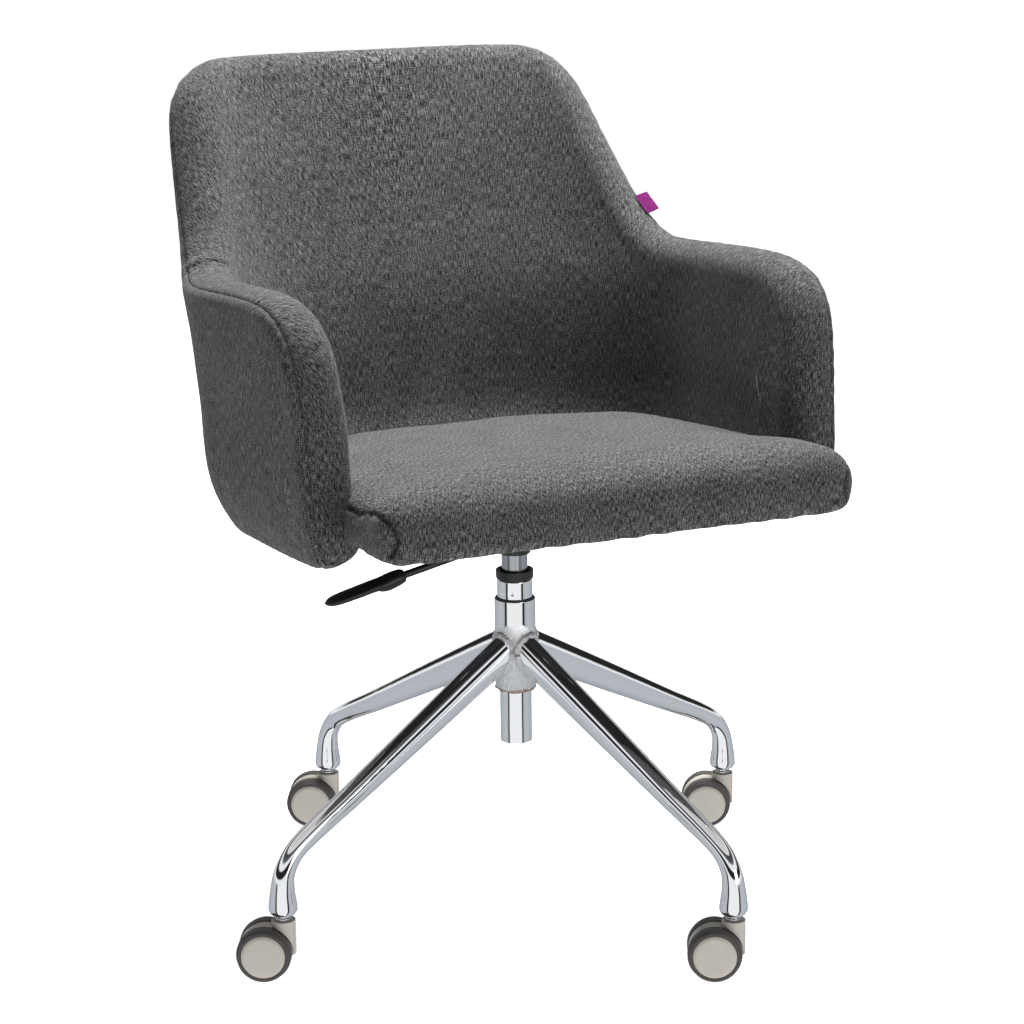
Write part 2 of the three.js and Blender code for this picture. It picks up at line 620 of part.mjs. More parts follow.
// A point of the shell's middle surface: u along the U from the back's middle, z the height.
function onShell(u, z) {
  const along = Math.abs(u);
  const angle = angleAlongU(along);
  const beyond = Math.max(along - ARM_START, 0);
  const squarer = THREE.MathUtils.clamp((z - SQUARER.from) / SQUARER.rise, 0, SQUARER.most);
  const power = 2 / (ROUNDNESS + SQUARER.by * squarer);
  const x = smooth(HALF_WIDTH, z) * Math.sin(angle) ** power - ARM_TOE_IN * beyond;
  const depth = smooth(BACK_REACH, z) - ARMS_FROM;
  const y = ARMS_FROM + depth * Math.max(Math.cos(angle), 0) ** power - beyond;
  return new THREE.Vector3(Math.sign(u) * x, y, z);
}

// The middle surface's normal, away from the sitter.
function shellNormal(u, z) {
  const step = 2;
  const across = onShell(u + step, z).sub(onShell(u - step, z));
  const upwards = onShell(u, z + step).sub(onShell(u, z - step));
  return upwards.cross(across).normalize();
}

const asCurve = (pairs) => new THREE.SplineCurve(pairs.map(([u, z]) => new THREE.Vector2(u, z)));
const edges = { top: asCurve(TOP_EDGE), front: asCurve(FRONT_EDGE), bottom: asCurve(BOTTOM_EDGE) };

// A point of the outlined sheet on the sitter's left, as fractions of its half length and its height.
function inOutline(across, up) {
  const top = edges.top.getPointAt(across);
  const bottom = edges.bottom.getPointAt(across);
  const front = edges.front.getPointAt(up);
  const corner = new THREE.Vector2().lerpVectors(edges.bottom.getPoint(1), edges.top.getPoint(1), up);
  return bottom.lerp(top, up).add(front.sub(corner).multiplyScalar(across));
}

const outlinePoints = [
  ...edges.bottom.getSpacedPoints(OUTLINE_STEPS.bottom),
  ...edges.front.getSpacedPoints(OUTLINE_STEPS.front),
  ...edges.top.getSpacedPoints(OUTLINE_STEPS.top),
];

function distanceToEdge(point) {
  return Math.min(...outlinePoints.map((edgePoint) => edgePoint.distanceTo(point)));
}

// Half thickness at a distance from the edge, where the cover rounds over.
function roundedOff(distance, radius) {
  const short = Math.max(1 - distance / radius, 0);
  return PAD * Math.sqrt(1 - short ** ROUND_EXPONENT);
}

// The shell's grid: for each grid point its place, normal and distance from the edge.
function makeShellGrid() {
  const half = SHELL_COLUMNS.slice(1);
  const columns = [...half.toReversed().map((value) => -value), 0, ...half];
  return SHELL_ROWS.map((up) => columns.map((across) => {
    const point = inOutline(Math.abs(across), up);
    const u = Math.sign(across) * point.x;
    return { place: onShell(u, point.y), normal: shellNormal(u, point.y), distance: distanceToEdge(point) };
  }));
}

function offsetGrid(grid, offset) {
  return grid.map((row, i) => row.map((node, j) => (
    node.place.clone().addScaledVector(node.normal, offset(node, i, j)))));
}

function makeShell() {
  const grid = makeShellGrid();
  const lastRow = grid.length - 1;
  const lastColumn = grid[0].length - 1;
  const overBoard = (i, j) => i >= BOARD_EDGE_ROW && i <= lastRow - BOARD_EDGE_ROW
    && j >= BOARD_EDGE_COLUMN && j <= lastColumn - BOARD_EDGE_COLUMN;
  const split = (i, j) => (overBoard(i, j) ? BOARD_HALF + GAP : GAP / 2);
  const cover = (node, radius) => EDGE_HALF + roundedOff(node.distance, radius);
  const outerPad = between(
    offsetGrid(grid, (node) => cover(node, OUTER_ROUND)),
    offsetGrid(grid, (node, i, j) => split(i, j)),
  );
  const innerPad = between(
    offsetGrid(grid, (node, i, j) => -split(i, j)),
    offsetGrid(grid, (node) => -cover(node, INNER_ROUND)),
  );
  const boardGrid = grid.slice(BOARD_EDGE_ROW, lastRow - BOARD_EDGE_ROW + 1)
    .map((row) => row.slice(BOARD_EDGE_COLUMN, lastColumn - BOARD_EDGE_COLUMN + 1));
  const board = between(offsetGrid(boardGrid, () => BOARD_HALF), offsetGrid(boardGrid, () => -BOARD_HALF));
  const shell = new THREE.Group();
  shell.add(
    named('outer_pad', outerPad, 'fabric'),
    named('inner_pad', innerPad, 'fabric'),
    named('shell_board', board, 'plywood'),
    named('label_tab', makeTag(), 'tag'),
  );
  return shell;
}

// A folded cloth tag that stands out of the shell's edge and leans over to its outer side.
function makeTag() {
  const [u, z] = TAG.edgePoint;
  const [alongU, alongZ] = TAG.edgeDirection;
  const direction = (du, dz) => onShell(u + du, z + dz).sub(onShell(u - du, z - dz)).normalize();
  const along = direction(alongU, alongZ);
  const out = direction(-alongZ, alongU).addScaledVector(shellNormal(u, z), TAG.lean).normalize();
  const through = new THREE.Vector3().crossVectors(along, out);
  const corner = (a, o, t) => onShell(u, z).addScaledVector(along, a * TAG.along / 2)
    .addScaledVector(out, TAG.start + o * TAG.proud).addScaledVector(through, t * TAG.thickness / 2);
  const face = (t) => [[corner(-1, 0, t), corner(1, 0, t)], [corner(-1, 1, t), corner(1, 1, t)]];
  return between(face(1), face(-1));
}

// Half width of the cushion's outline at a place from front to back.
function cushionHalfWidth(y) {
  const { front, back, halfWidth, wing, wingFrom, wingFull, corner } = CUSHION;
  if (y > ARMS_FROM) {
    return halfWidth * (1 - ((y - ARMS_FROM) / (back - ARMS_FROM)) ** ROUNDNESS) ** (1 / ROUNDNESS);
  }
  const flare = THREE.MathUtils.smoothstep(wingFrom - y, 0, wingFrom - wingFull);
  const intoCorner = THREE.MathUtils.clamp((front + corner - y) / corner, 0, 1);
  return halfWidth + (wing - halfWidth) * flare - corner * (1 - Math.sqrt(1 - intoCorner ** 2));
}

function cushionTop(y, across) {
  const { front, edgeHeight, slope, crown, frontRound } = CUSHION;
  const intoFront = THREE.MathUtils.clamp((front + frontRound - y) / frontRound, 0, 1);
  const waterfall = frontRound * (1 - Math.sqrt(1 - intoFront ** 2));
  return edgeHeight + slope * y + crown * (1 - across ** 4) - waterfall;
}

function makeCushion() {
  const { front, back, bottom, foot, frontFoot } = CUSHION;
  const rowPlaces = Array.from({ length: CUSHION_ROWS }, (_, i) => {
    const part = i / (CUSHION_ROWS - 1);
    return front + (back - 1 - front) * (part - ROW_CROWDING * Math.sin(2 * Math.PI * part));
  });
  const columns = Array.from({ length: CUSHION_COLUMNS + 1 }, (_, j) => (
    Math.sin((Math.PI / 2) * ((2 * j) / CUSHION_COLUMNS - 1))));
  const top = rowPlaces.map((y) => columns.map((across) => (
    new THREE.Vector3(across * cushionHalfWidth(y), y, cushionTop(y, across)))));
  const under = rowPlaces.map((y) => columns.map((across) => (
    new THREE.Vector3(across * cushionHalfWidth(y) * foot, y > 0 ? y * foot : y + frontFoot, bottom))));
  return named('seat_cushion', between(top, under), 'fabric');
}

// ---------------------------------------------------------------- the chair

const chair = new THREE.Group();
chair.add(makeLegs(), makeColumn(), makeGasLift(), makeCastors(), makeSeatSupport(), makeLever(), makeShell(),
  makeCushion());

export default chair;
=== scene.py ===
"""Swivel tub chair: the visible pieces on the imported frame, with their materials, light and camera."""

import math

import bmesh
import bpy
import numpy as np
from mathutils import Matrix, Vector


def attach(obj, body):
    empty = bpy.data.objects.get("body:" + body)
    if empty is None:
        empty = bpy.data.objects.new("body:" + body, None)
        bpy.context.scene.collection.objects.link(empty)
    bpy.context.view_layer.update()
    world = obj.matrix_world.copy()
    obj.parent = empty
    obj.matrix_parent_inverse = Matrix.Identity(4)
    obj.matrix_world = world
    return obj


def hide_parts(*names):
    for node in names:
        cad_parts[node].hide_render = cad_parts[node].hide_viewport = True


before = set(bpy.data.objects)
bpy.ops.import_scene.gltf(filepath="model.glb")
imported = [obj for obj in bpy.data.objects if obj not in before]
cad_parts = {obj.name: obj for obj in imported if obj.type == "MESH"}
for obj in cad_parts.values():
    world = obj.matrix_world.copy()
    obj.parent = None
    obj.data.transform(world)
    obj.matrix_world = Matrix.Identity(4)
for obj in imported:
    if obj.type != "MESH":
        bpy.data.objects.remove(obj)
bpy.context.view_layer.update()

MM = 0.001

# ------------------------------------------------------------------ sizes, in millimetres unless said

# The base.
LEG_COUNT = 4
FIRST_LEG_ANGLE = math.radians(18.6)
STEM_RADIUS = 288.9
HUB = {"radius": 19.7, "bore": 17.4, "bottom": 212, "top": 300}
# Along the leg: distance from the axis, height, half depth and half width of the tube.
LEG_SECTIONS = [
    [12, 251, 17, 11.5], [50, 231.5, 16.3, 11.4], [130, 190.5, 14, 11], [210, 149.5, 11.2, 10.2],
    [254, 127.5, 9.8, 9.6], [275, 114, 9.3, 9.3], [286, 98, 9.7, 9.7], [288.9, 82, 11.2, 11.2],
    [288.9, 67, 13.1, 13.1], [288.9, 62, 12.8, 12.8], [288.9, 60, 11, 11],
]
LEG_CROWDING = 0.8  # below 1, the rings lie closer together towards the foot
FOOT_SOCKET = {"bore": 4.3, "radius": 7.8, "bottom": 60.2, "top": 92}
LEG_JOINT_RADIUS = 18.6  # the legs end inside the hub's wall
LEG_WELD = {"radius": 3.2, "out": 0.6, "ripple": 0.16, "ripple_length": 7}
HUB_WELD = {"ring": 17.6, "radius": 2.3, "height": 212, "ripple": 0.12, "ripple_length": 5}
STAND_SIDES = 180
HUB_SEAL = {"bore": 17.1, "radius": 18.4, "bottom": 299.2, "top": 301.4}
STAND = {
    "radius": 17, "foot": 15.3, "bore": 14.7, "foot_bore": 13.2, "bottom": 158, "top": 319,
    "neck": (206, 216), "inner_neck": (210, 204), "floor": (163.5, 161), "floor_hole": 4.6,
}
DIMPLE = {"height": 308, "depth": 1.1, "reach": 1.9, "knob": 0.9, "angles": [-161, -121.7, 19, 58.3]}
CYLINDER = {
    "radius": 12.5, "bottom": 185, "top": 352.5, "inside": 10, "floor": 10, "head": 8, "rod_bore": 4.3,
    "valve_bore": 2.7,
}
BUSH = {"radius": 18, "sleeve": 14.4, "bore": 12.8, "bottom": 272, "shoulder": 319.3, "top": 328}

# The castors. Each one's own x points the way it trails, from its stem at the origin.
CASTOR_HEADING = math.radians(153.6)
TRAIL = 17
WHEEL_RADIUS = 25
DISC_RADIUS = 20
WHEEL_INNER = 6.5
WHEEL_OUTER = 22.3
AXLE_ROOM = {"radius": 3.3, "end": 19.1}
HOOD = {
    "half": 6, "radius": 24, "underside": 9, "barrel": 11, "bottom": 22, "top": 54, "stem_bore": 4.3,
    "web_back": -10, "web_top": 48, "bevel": 0.45,
}
PAST = 5  # how far a cutting solid reaches past what it cuts
STEM = {"radius": 4, "bottom": 34, "top": 90, "collar": 7.5, "collar_bottom": 54.6, "collar_top": 59.4}

# Under the seat.
SOCKET_HUB = {
    "radius": 21, "lip": 15, "lip_height": 12, "bore": 12.9, "bottom": 344, "top": 395.2, "room": 14,
    "room_bottom": 352.8,
}
LEVER = {"pivot": (-17.5, 0, 356.6), "droop": math.radians(12.5), "rod": 3.5, "inner": 20, "outer": -128}
# Along the grip: x, height of the centre, half height and half width.
GRIP_SECTIONS = [
    [-98, 0, 5.6, 6.6], [-99.5, 0, 6.5, 7.5], [-103, -0.1, 7.4, 8.6], [-114, -1, 8, 9.5], [-122, -1, 7, 10],
    [-128, 0, 5.6, 10.5], [-145, -0.3, 5.2, 11], [-165, -0.6, 4.6, 10.5], [-174, -0.8, 3.4, 7.5],
    [-178, -1, 1.2, 3],
]
GRIP_RINGS = 60
GRIP_SIDES = 40

# The shell's middle surface is a U in plan at every height. u is measured along it from the middle of the
# back, on the curve that U_PLAN gives.
U_PLAN = {"half_width": 262, "depth": 202}
ARMS_FROM = 60
ROUNDNESS = 2.5
SQUARER = {"from": 560, "rise": 225, "by": 1}
ARM_TOE_IN = 0.022
HALF_WIDTH = [
    [360, 201], [380, 217], [400, 230], [425, 240], [460, 244], [500, 245], [550, 248], [620, 253],
    [700, 261], [800, 268],
]
BACK_REACH = [
    [360, 182], [380, 198], [400, 212], [430, 232], [480, 246], [550, 266], [620, 298], [700, 334],
    [800, 386],
]
# The shell's outline in u and z.
TOP_EDGE = [
    [0, 783], [110, 783], [150, 781], [179, 771], [199, 753], [212, 730], [224, 704], [239, 675],
    [254, 649], [269, 629], [285, 615], [303, 608.5], [340, 609], [390, 614], [440, 618], [485, 620],
    [517, 618], [543, 611],
]
FRONT_EDGE = [
    [594, 400], [600, 425], [598.5, 450], [595, 480], [591, 520], [585, 551], [577.5, 574.5], [564, 595],
    [543, 611],
]
BOTTOM_EDGE = [[0, 365], [120, 366], [250, 370], [381, 378], [480, 384], [560, 391], [594, 400]]
SPINE = [[0, 588], [150, 588], [230, 545], [300, 500], [520, 505]]
PAD = 25
PAD_EDGE = 0.6  # how far the cover stands off at the very edge
PAD_EXPONENT = 2.3
OUTER_ROUND = 16
INNER_ROUND = 26
SEAM_DEPTH_IN = 4.5  # the main seam runs round the outer side, this far in from the edge
SEAM = {"depth": 2.0, "half_width": 1.0}
SEAM_SHADOW = 0.7  # how far the cloth's colour is darkened in a seam: painted shade standing in for the shadow in its groove
EDGE_LENGTH = 633  # of the top edge, from the middle of the back
FRONT_LENGTH = 229
# Places along the top edge for the first two, on the sitter's right, and up the front edge on their left.
CROSS_SEAMS = {"arm_joint": 0.591, "arm_top": 0.922, "arm_front": 0.371}
CROSS_SEAM = {"depth": 1.3, "half_width": 1.3, "pucker_reach": 26}
NEAR_CROSS_SEAM = [-9, -6, -4, -2.6, -1.6, -0.8, 0, 0.8, 1.6, 2.6, 4, 6, 9]
CLEAR_OF_NEXT = 2.4  # between those places and the next even step
# Height, and pitch or reach, of the cover's unevenness.
RIM = {"reach": 12, "fade": 2.5}
PUCKER = {"pitch": 21, "at_seam": 0.32, "at_cross_seam": 0.5, "seam_reach": 9}
SLACK = {"pitch": 150, "height": 0.75, "ripple_pitch": 34, "ripple": 0.16, "full_depth": 30}
TAG = {
    "along": 25, "start": 2.5, "proud": 13.5, "thickness": 1.2, "lean": 1, "edge": (265.8, 632.7),
    "direction": (0.638, -0.77), "fold_power": 6, "curl": 1.6, "curl_from": 0.2, "ripple": 0.4,
    "ripple_rate": 5,
}

# The seat cushion.
CUSHION = {
    "front": -252, "back": 202, "half_width": 212, "wing": 234, "wing_from": -112, "wing_full": -152,
    "corner": 22, "side_round": 28, "bottom": 414, "edge_height": 447, "slope": -0.11, "crown": 3,
    "front_round": 34, "foot": 0.935, "front_foot": 0.985, "front_tuck": 3,
}
CUSHION_ROWS = 70
CUSHION_COLUMNS = 61
ROW_CROWDING = 0.12  # towards the front and back
GUSSET = {
    "inset": 7, "corner_x": 216.5, "corner_reach": 10, "snap": 1.25, "half_width": 1.4, "depth": 1.3,
    "pucker": 0.25, "pucker_pitch": 24, "pucker_reach": 8,
}
HEM = {"ripple": 0.7, "pitch": 24, "height": 3, "reach": 9}
CUSHION_SLACK = {"height": 0.8, "pitch": 130}
HEM_ROUND = 9  # the rounding at the foot of the sides
VOXEL = 5
PRESSURE = 4
SIMULATED_FRAMES = 20
MOST_RISE = 22  # how far the simulation may move the cover
FULLNESS = 0.35  # how much of that movement the stuffing is firm enough to keep
SIDE_ROOM = 1.5  # how far it may press into the arms
FRONT_ROOM = 4
BACK_ROOM = 2


# ------------------------------------------------------------------ meshes


def smooth(table, x):
    """Values of the smooth curve through the table's (x, value) pairs."""
    xs, ys = np.array(table, float).T
    before = np.maximum(np.arange(len(xs)) - 1, 0)
    after = np.minimum(np.arange(len(xs)) + 1, len(xs) - 1)
    slopes = (ys[after] - ys[before]) / (xs[after] - xs[before])
    i = np.clip(np.searchsorted(xs, x, side="right") - 1, 0, len(xs) - 2)
    width = xs[i + 1] - xs[i]
    t = np.clip((x - xs[i]) / width, 0, 1)
    s = 1 - t
    ends = s * s * (1 + 2 * t) * ys[i] + t * t * (1 + 2 * s) * ys[i + 1]
    return ends + t * s * width * (s * slopes[i] - t * slopes[i + 1])


def waves(places, length, seed, count=5):
    """A smooth, irregular ripple of about unit height over the given places, one row each."""
    random = np.random.default_rng(seed)
    places = np.atleast_2d(places)
    total = np.zeros(len(places))
    for _ in range(count):
        direction = random.normal(size=places.shape[1])
        direction /= np.linalg.norm(direction)
        pitch = length * random.uniform(0.7, 1.5)
        total += np.sin(places @ direction * 2 * math.pi / pitch + random.uniform(0, 2 * math.pi))
    return total / math.sqrt(count)


def grid_faces(rows, columns, closed_rows=False, closed_columns=True):
    """Quads over a grid of points that was listed row by row."""
    faces = []
    for i in range(rows if closed_rows else rows - 1):
        for j in range(columns if closed_columns else columns - 1):
            i2, j2 = (i + 1) % rows, (j + 1) % columns
            faces.append((i * columns + j, i * columns + j2, i2 * columns + j2, i2 * columns + j))
    return faces


def new_object(name, points, faces):
    """An object in the scene, from points in millimetres."""
    mesh = bpy.data.meshes.new(name)
    mesh.from_pydata((np.reshape(points, (-1, 3)) * MM).tolist(), [], faces)
    made = bpy.data.objects.new(name, mesh)
    bpy.context.scene.collection.objects.link(made)
    return made


def clean(mesh, doubles=None):
    """Joins points closer than doubles, in metres, or else fills the holes, and turns the faces out."""
    edited = bmesh.new()
    edited.from_mesh(mesh)
    if doubles:
        bmesh.ops.remove_doubles(edited, verts=edited.verts, dist=doubles)
    else:
        bmesh.ops.holes_fill(edited, edges=edited.edges)
    bmesh.ops.recalc_face_normals(edited, faces=edited.faces)
    edited.to_mesh(mesh)
    edited.free()


def add_piece(name, points, faces, material, body, replaced=(), place=None, sharp=35):
    """A piece of the chair from points in millimetres, cleaned of doubled points, facing out."""
    piece = new_object(name, points, faces)
    mesh = piece.data
    clean(mesh, 1e-6)
    if place is not None:
        mesh.transform(place)
    mesh.shade_smooth()
    mesh.set_sharp_from_angle(angle=math.radians(sharp))
    dress(piece, material)
    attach(piece, body)
    if replaced:
        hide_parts(*replaced)
    return piece


def dress(piece, finish):
    """Gives a piece its material."""
    material, slot = finish
    piece.data.materials.clear()
    piece.data.materials.append(material)


def even_shading(piece):
    """Keeps flat faces flat next to rounded corners."""
    piece.modifiers.new("even shading", "WEIGHTED_NORMAL").keep_sharp = True
    return piece


def round_corners(profile, radius, steps=4):
    """The closed profile with every corner off the axis turned into a short curve."""
    points = np.array(profile, float)
    rounded = []
    for before, corner, after in zip(np.roll(points, 1, 0), points, np.roll(points, -1, 0)):
        if corner[0] < 0.01:
            rounded.append(corner)
            continue
        toward = [other - corner for other in (before, after)]
        start, end = (corner + d * min(radius / np.linalg.norm(d), 0.45) for d in toward)
        for t in np.linspace(0, 1, steps):
            rounded.append((1 - t) ** 2 * start + 2 * t * (1 - t) * corner + t * t * end)
    return np.array(rounded)


def turned_points(profile, sides):
    """The profile's (radius, height) points, each carried round the Z axis."""
    angles = np.arange(sides) * 2 * math.pi / sides
    radii, heights = np.array(profile, float).T
    x, y = np.outer(radii, np.cos(angles)), np.outer(radii, np.sin(angles))
    return np.stack([x, y, np.repeat(heights[:, None], sides, 1)], -1)


def add_turned(name, profile, material, body, replaced=(), corner=0.5, sides=72, place=None):
    """A turned piece with slightly rounded corners."""
    rounded = round_corners(profile, corner)
    points = turned_points(rounded, sides)
    faces = grid_faces(len(rounded), sides, closed_rows=True)
    return even_shading(add_piece(name, points, faces, material, body, replaced, place))


def tube_along(path, radius, sides=12):
    """Rings of points round a closed path, with one radius for each place on it."""
    along = np.roll(path, -1, 0) - np.roll(path, 1, 0)
    along /= np.linalg.norm(along, axis=1)[:, None]
    side = np.cross(along, (0.0, 0.0, 1.0))
    side /= np.linalg.norm(side, axis=1)[:, None]
    up = np.cross(side, along)
    angles = np.arange(sides) * 2 * math.pi / sides
    ring = side[:, None] * np.cos(angles)[None, :, None] + up[:, None] * np.sin(angles)[None, :, None]
    return path[:, None] + ring * np.reshape(radius, (-1, 1, 1))


# ------------------------------------------------------------------ materials


def add_node(tree, kind, inputs=None, **settings):
    """A shader node with its settings, and its inputs linked where a socket is given."""
    node = tree.nodes.new(kind)
    for key, value in settings.items():
        setattr(node, key, value)
    for key, value in (inputs or {}).items():
        if isinstance(value, bpy.types.NodeSocket):
            tree.links.new(value, node.inputs[key])
        else:
            node.inputs[key].default_value = value
    return node


def new_finish(slot, color, roughness, metallic=0.0, **constants):
    """A Principled material for the slot, with constant values straight on its sockets."""
    material = bpy.data.materials.new(slot)
    material.use_nodes = True
    shader = material.node_tree.nodes["Principled BSDF"]
    values = {"Base Color": (*color, 1), "Roughness": roughness, "Metallic": metallic, **constants}
    for key, value in values.items():
        shader.inputs[key].default_value = value
    return material, shader


def on_object(tree):
    return add_node(tree, "ShaderNodeTexCoord").outputs["Object"]


def height_of(tree, place):
    return add_node(tree, "ShaderNodeSeparateXYZ", {0: place}).outputs["Z"]


def in_millimetres(tree, source, scale):
    """A coordinate scaled so that one texture cell is scale millimetres along each axis."""
    factors = [1000 / s for s in scale]
    return add_node(tree, "ShaderNodeVectorMath", {0: source, 1: factors}, operation="MULTIPLY").outputs[0]


def noise_at(tree, vector, detail=2.0, roughness=0.5):
    inputs = {"Vector": vector, "Scale": 1.0, "Detail": detail, "Roughness": roughness}
    return add_node(tree, "ShaderNodeTexNoise", inputs).outputs["Fac"]


def calculate(tree, operation, *values):
    return add_node(tree, "ShaderNodeMath", dict(enumerate(values)), operation=operation).outputs[0]


def mix_colors(tree, factor, first, second):
    node = add_node(tree, "ShaderNodeMix", {"Factor": factor, 6: first, 7: second}, data_type="RGBA")
    return node.outputs[2]


def ramp(tree, value, *stops):
    """A colour ramp through (position, colour) stops."""
    node = add_node(tree, "ShaderNodeValToRGB", {"Fac": value})
    elements = node.color_ramp.elements
    while len(elements) < len(stops):
        elements.new(0.5)
    for element, (position, color) in zip(elements, stops):
        element.position = position
        element.color = (*color, 1) if len(color) == 3 else color
    return node.outputs["Color"]


def add_bump(tree, shader, height, strength, distance_mm):
    inputs = {"Height": height, "Strength": strength, "Distance": distance_mm * MM}
    bump = add_node(tree, "ShaderNodeBump", inputs)
    tree.links.new(bump.outputs["Normal"], shader.inputs["Normal"])


def fabric(slot, dark, light, streak=7.0):
    """Melange cloth: streaky warp threads crossed by fainter weft threads, over the piece's cloth UVs, with
    painted shade that darkens the colour along a seam attribute.
    """
    sheen = {"Sheen Weight": 0.1, "Sheen Roughness": 0.5, "IOR": 1.4, "Specular IOR Level": 0.2}
    material, shader = new_finish(slot, dark, 0.92, **sheen)
    tree = material.node_tree
    cloth = add_node(tree, "ShaderNodeUVMap", uv_map="cloth").outputs["UV"]
    warp = noise_at(tree, in_millimetres(tree, cloth, (0.62, streak, 1)), 1.0)
    weft = noise_at(tree, in_millimetres(tree, cloth, (streak * 0.6, 0.62, 1)), 1.0)
    fleck = noise_at(tree, in_millimetres(tree, cloth, (0.55, 0.7, 1)), 0.0)
    patch = noise_at(tree, in_millimetres(tree, cloth, (34, 60, 1)), 2.0)
    threads = calculate(tree, "MULTIPLY_ADD", warp, 0.5, calculate(tree, "MULTIPLY", weft, 0.28))
    threads = calculate(tree, "MULTIPLY_ADD", fleck, 0.22, threads)
    shade = calculate(tree, "MULTIPLY_ADD", patch, 0.05, calculate(tree, "SUBTRACT", threads, 0.025))
    middle = tuple((a + b) / 4.2 for a, b in zip(dark, light))
    color = ramp(tree, shade, (0.42, dark), (0.5, middle), (0.6, light))
    # Painted shade: the colour is darkened towards black along the seam attribute, in place of the shadow in
    # the seam's groove.
    seam = add_node(tree, "ShaderNodeAttribute", attribute_name="seam").outputs["Fac"]
    shadow = calculate(tree, "MULTIPLY", seam, SEAM_SHADOW)
    seam_shaded_color = mix_colors(tree, shadow, color, (0, 0, 0, 1))
    tree.links.new(seam_shaded_color, shader.inputs["Base Color"])
    add_bump(tree, shader, threads, 0.12, 0.4)
    return material, slot


def chrome():
    """Polished plating with faint waviness."""
    material, shader = new_finish("chrome", (0.83, 0.84, 0.86), 0.045, 1.0)
    tree = material.node_tree
    place = on_object(tree)
    ripple = noise_at(tree, in_millimetres(tree, place, (14, 14, 30)), 1.0)
    add_bump(tree, shader, ripple, 0.12, 1.0)
    return material, "chrome"


def welded_chrome():
    """Plating over rough welds, brown where the heat has marked it at the bottom of the hub."""
    material, shader = new_finish("chrome_weld", (0.8, 0.8, 0.8), 0.2, 1.0)
    tree = material.node_tree
    place = on_object(tree)
    height = height_of(tree, place)
    grain = noise_at(tree, in_millimetres(tree, place, (2.2, 2.2, 2.6)), 4.0, 0.7)
    low = add_node(tree, "ShaderNodeMapRange", {
        "Value": height, "From Min": 0.222, "From Max": 0.208, "To Min": 0.0, "To Max": 0.75,
    }).outputs[0]
    stain = calculate(tree, "MULTIPLY", low, calculate(tree, "ADD", grain, 0.25))
    color = ramp(tree, stain, (0.0, (0.78, 0.78, 0.79)), (0.45, (0.5, 0.36, 0.26)), (0.8, (0.2, 0.11, 0.06)))
    tree.links.new(color, shader.inputs["Base Color"])
    add_bump(tree, shader, grain, 1.0, 2.5)
    return material, "chrome"


def hub_chrome():
    """The hub's plating: polished at the top, crinkled between the legs."""
    material, shader = new_finish("chrome_hub", (0.82, 0.83, 0.84), 0.06, 1.0)
    tree = material.node_tree
    place = on_object(tree)
    height = height_of(tree, place)
    rough = add_node(tree, "ShaderNodeMapRange", {
        "Value": height, "From Min": 0.278, "From Max": 0.262, "To Min": 0.0, "To Max": 1.0,
    }).outputs[0]
    grain = noise_at(tree, in_millimetres(tree, place, (2.5, 2.5, 3.5)), 4.0, 0.65)
    tree.links.new(calculate(tree, "MULTIPLY_ADD", rough, 0.14, 0.05), shader.inputs["Roughness"])
    add_bump(tree, shader, calculate(tree, "MULTIPLY", grain, rough), 1.0, 3.0)
    return material, "chrome"


def grained(slot, color, roughness, cell=0.8, strength=0.25, metallic=0.0, variation=0.06, **constants):
    """A plain material with fine surface grain and a slightly uneven colour and gloss."""
    material, shader = new_finish(slot, color, roughness, metallic, **constants)
    tree = material.node_tree
    place = on_object(tree)
    grain = noise_at(tree, in_millimetres(tree, place, (cell, cell, cell)), 2.0)
    cloud = noise_at(tree, in_millimetres(tree, place, (18, 18, 18)), 3.0)
    darker, lighter = (tuple(c * (1 + side * variation) for c in color) for side in (-1, 1))
    tree.links.new(ramp(tree, cloud, (0.3, darker), (0.7, lighter)), shader.inputs["Base Color"])
    gloss = calculate(tree, "MULTIPLY_ADD", cloud, 0.16, roughness - 0.08)
    tree.links.new(gloss, shader.inputs["Roughness"])
    add_bump(tree, shader, grain, strength, 0.25)
    return material, slot


def brushed_steel():
    """The gas cylinder's satin grey steel, drawn along its length."""
    material, shader = new_finish("cylinder_steel", (0.36, 0.38, 0.4), 0.24, 1.0)
    tree = material.node_tree
    place = on_object(tree)
    lines = noise_at(tree, in_millimetres(tree, place, (0.5, 0.5, 40)), 2.0)
    color = ramp(tree, lines, (0.3, (0.3, 0.32, 0.34)), (0.7, (0.46, 0.48, 0.5)))
    tree.links.new(color, shader.inputs["Base Color"])
    add_bump(tree, shader, lines, 0.2, 0.1)
    return material, "cylinder_steel"


FINISH = {
    "shell": fabric("shell_fabric", (0.01, 0.0101, 0.01), (0.25, 0.253, 0.247), streak=7.0),
    "cushion": fabric("cushion_fabric", (0.011, 0.0112, 0.0114), (0.27, 0.274, 0.277), streak=6.0),
    "tag": fabric("tag_fabric", (0.12, 0.008, 0.09), (0.42, 0.025, 0.32), streak=3.0),
    "chrome": chrome(),
    "hub": hub_chrome(),
    "weld": welded_chrome(),
    "zinc": grained("zinc_steel", (0.62, 0.63, 0.64), 0.28, cell=1.5, metallic=1.0),
    "cylinder": brushed_steel(),
    "black_steel": grained("black_steel", (0.012, 0.012, 0.012), 0.4, cell=1.2),
    "black_plastic": grained("black_plastic", (0.011, 0.011, 0.011), 0.42, cell=0.7),
    "socket": grained("socket_plastic", (0.02, 0.02, 0.02), 0.5),
    "cambric": grained("cambric", (0.01, 0.01, 0.01), 0.95, cell=1.3, strength=0.8),
    "castor": grained("castor_plastic", (0.74, 0.69, 0.62), 0.42, strength=0.12, variation=0.03),
    "tyre": grained("castor_tyre", (0.088, 0.08, 0.076), 0.55, strength=0.3),
}


# ------------------------------------------------------------------ the base


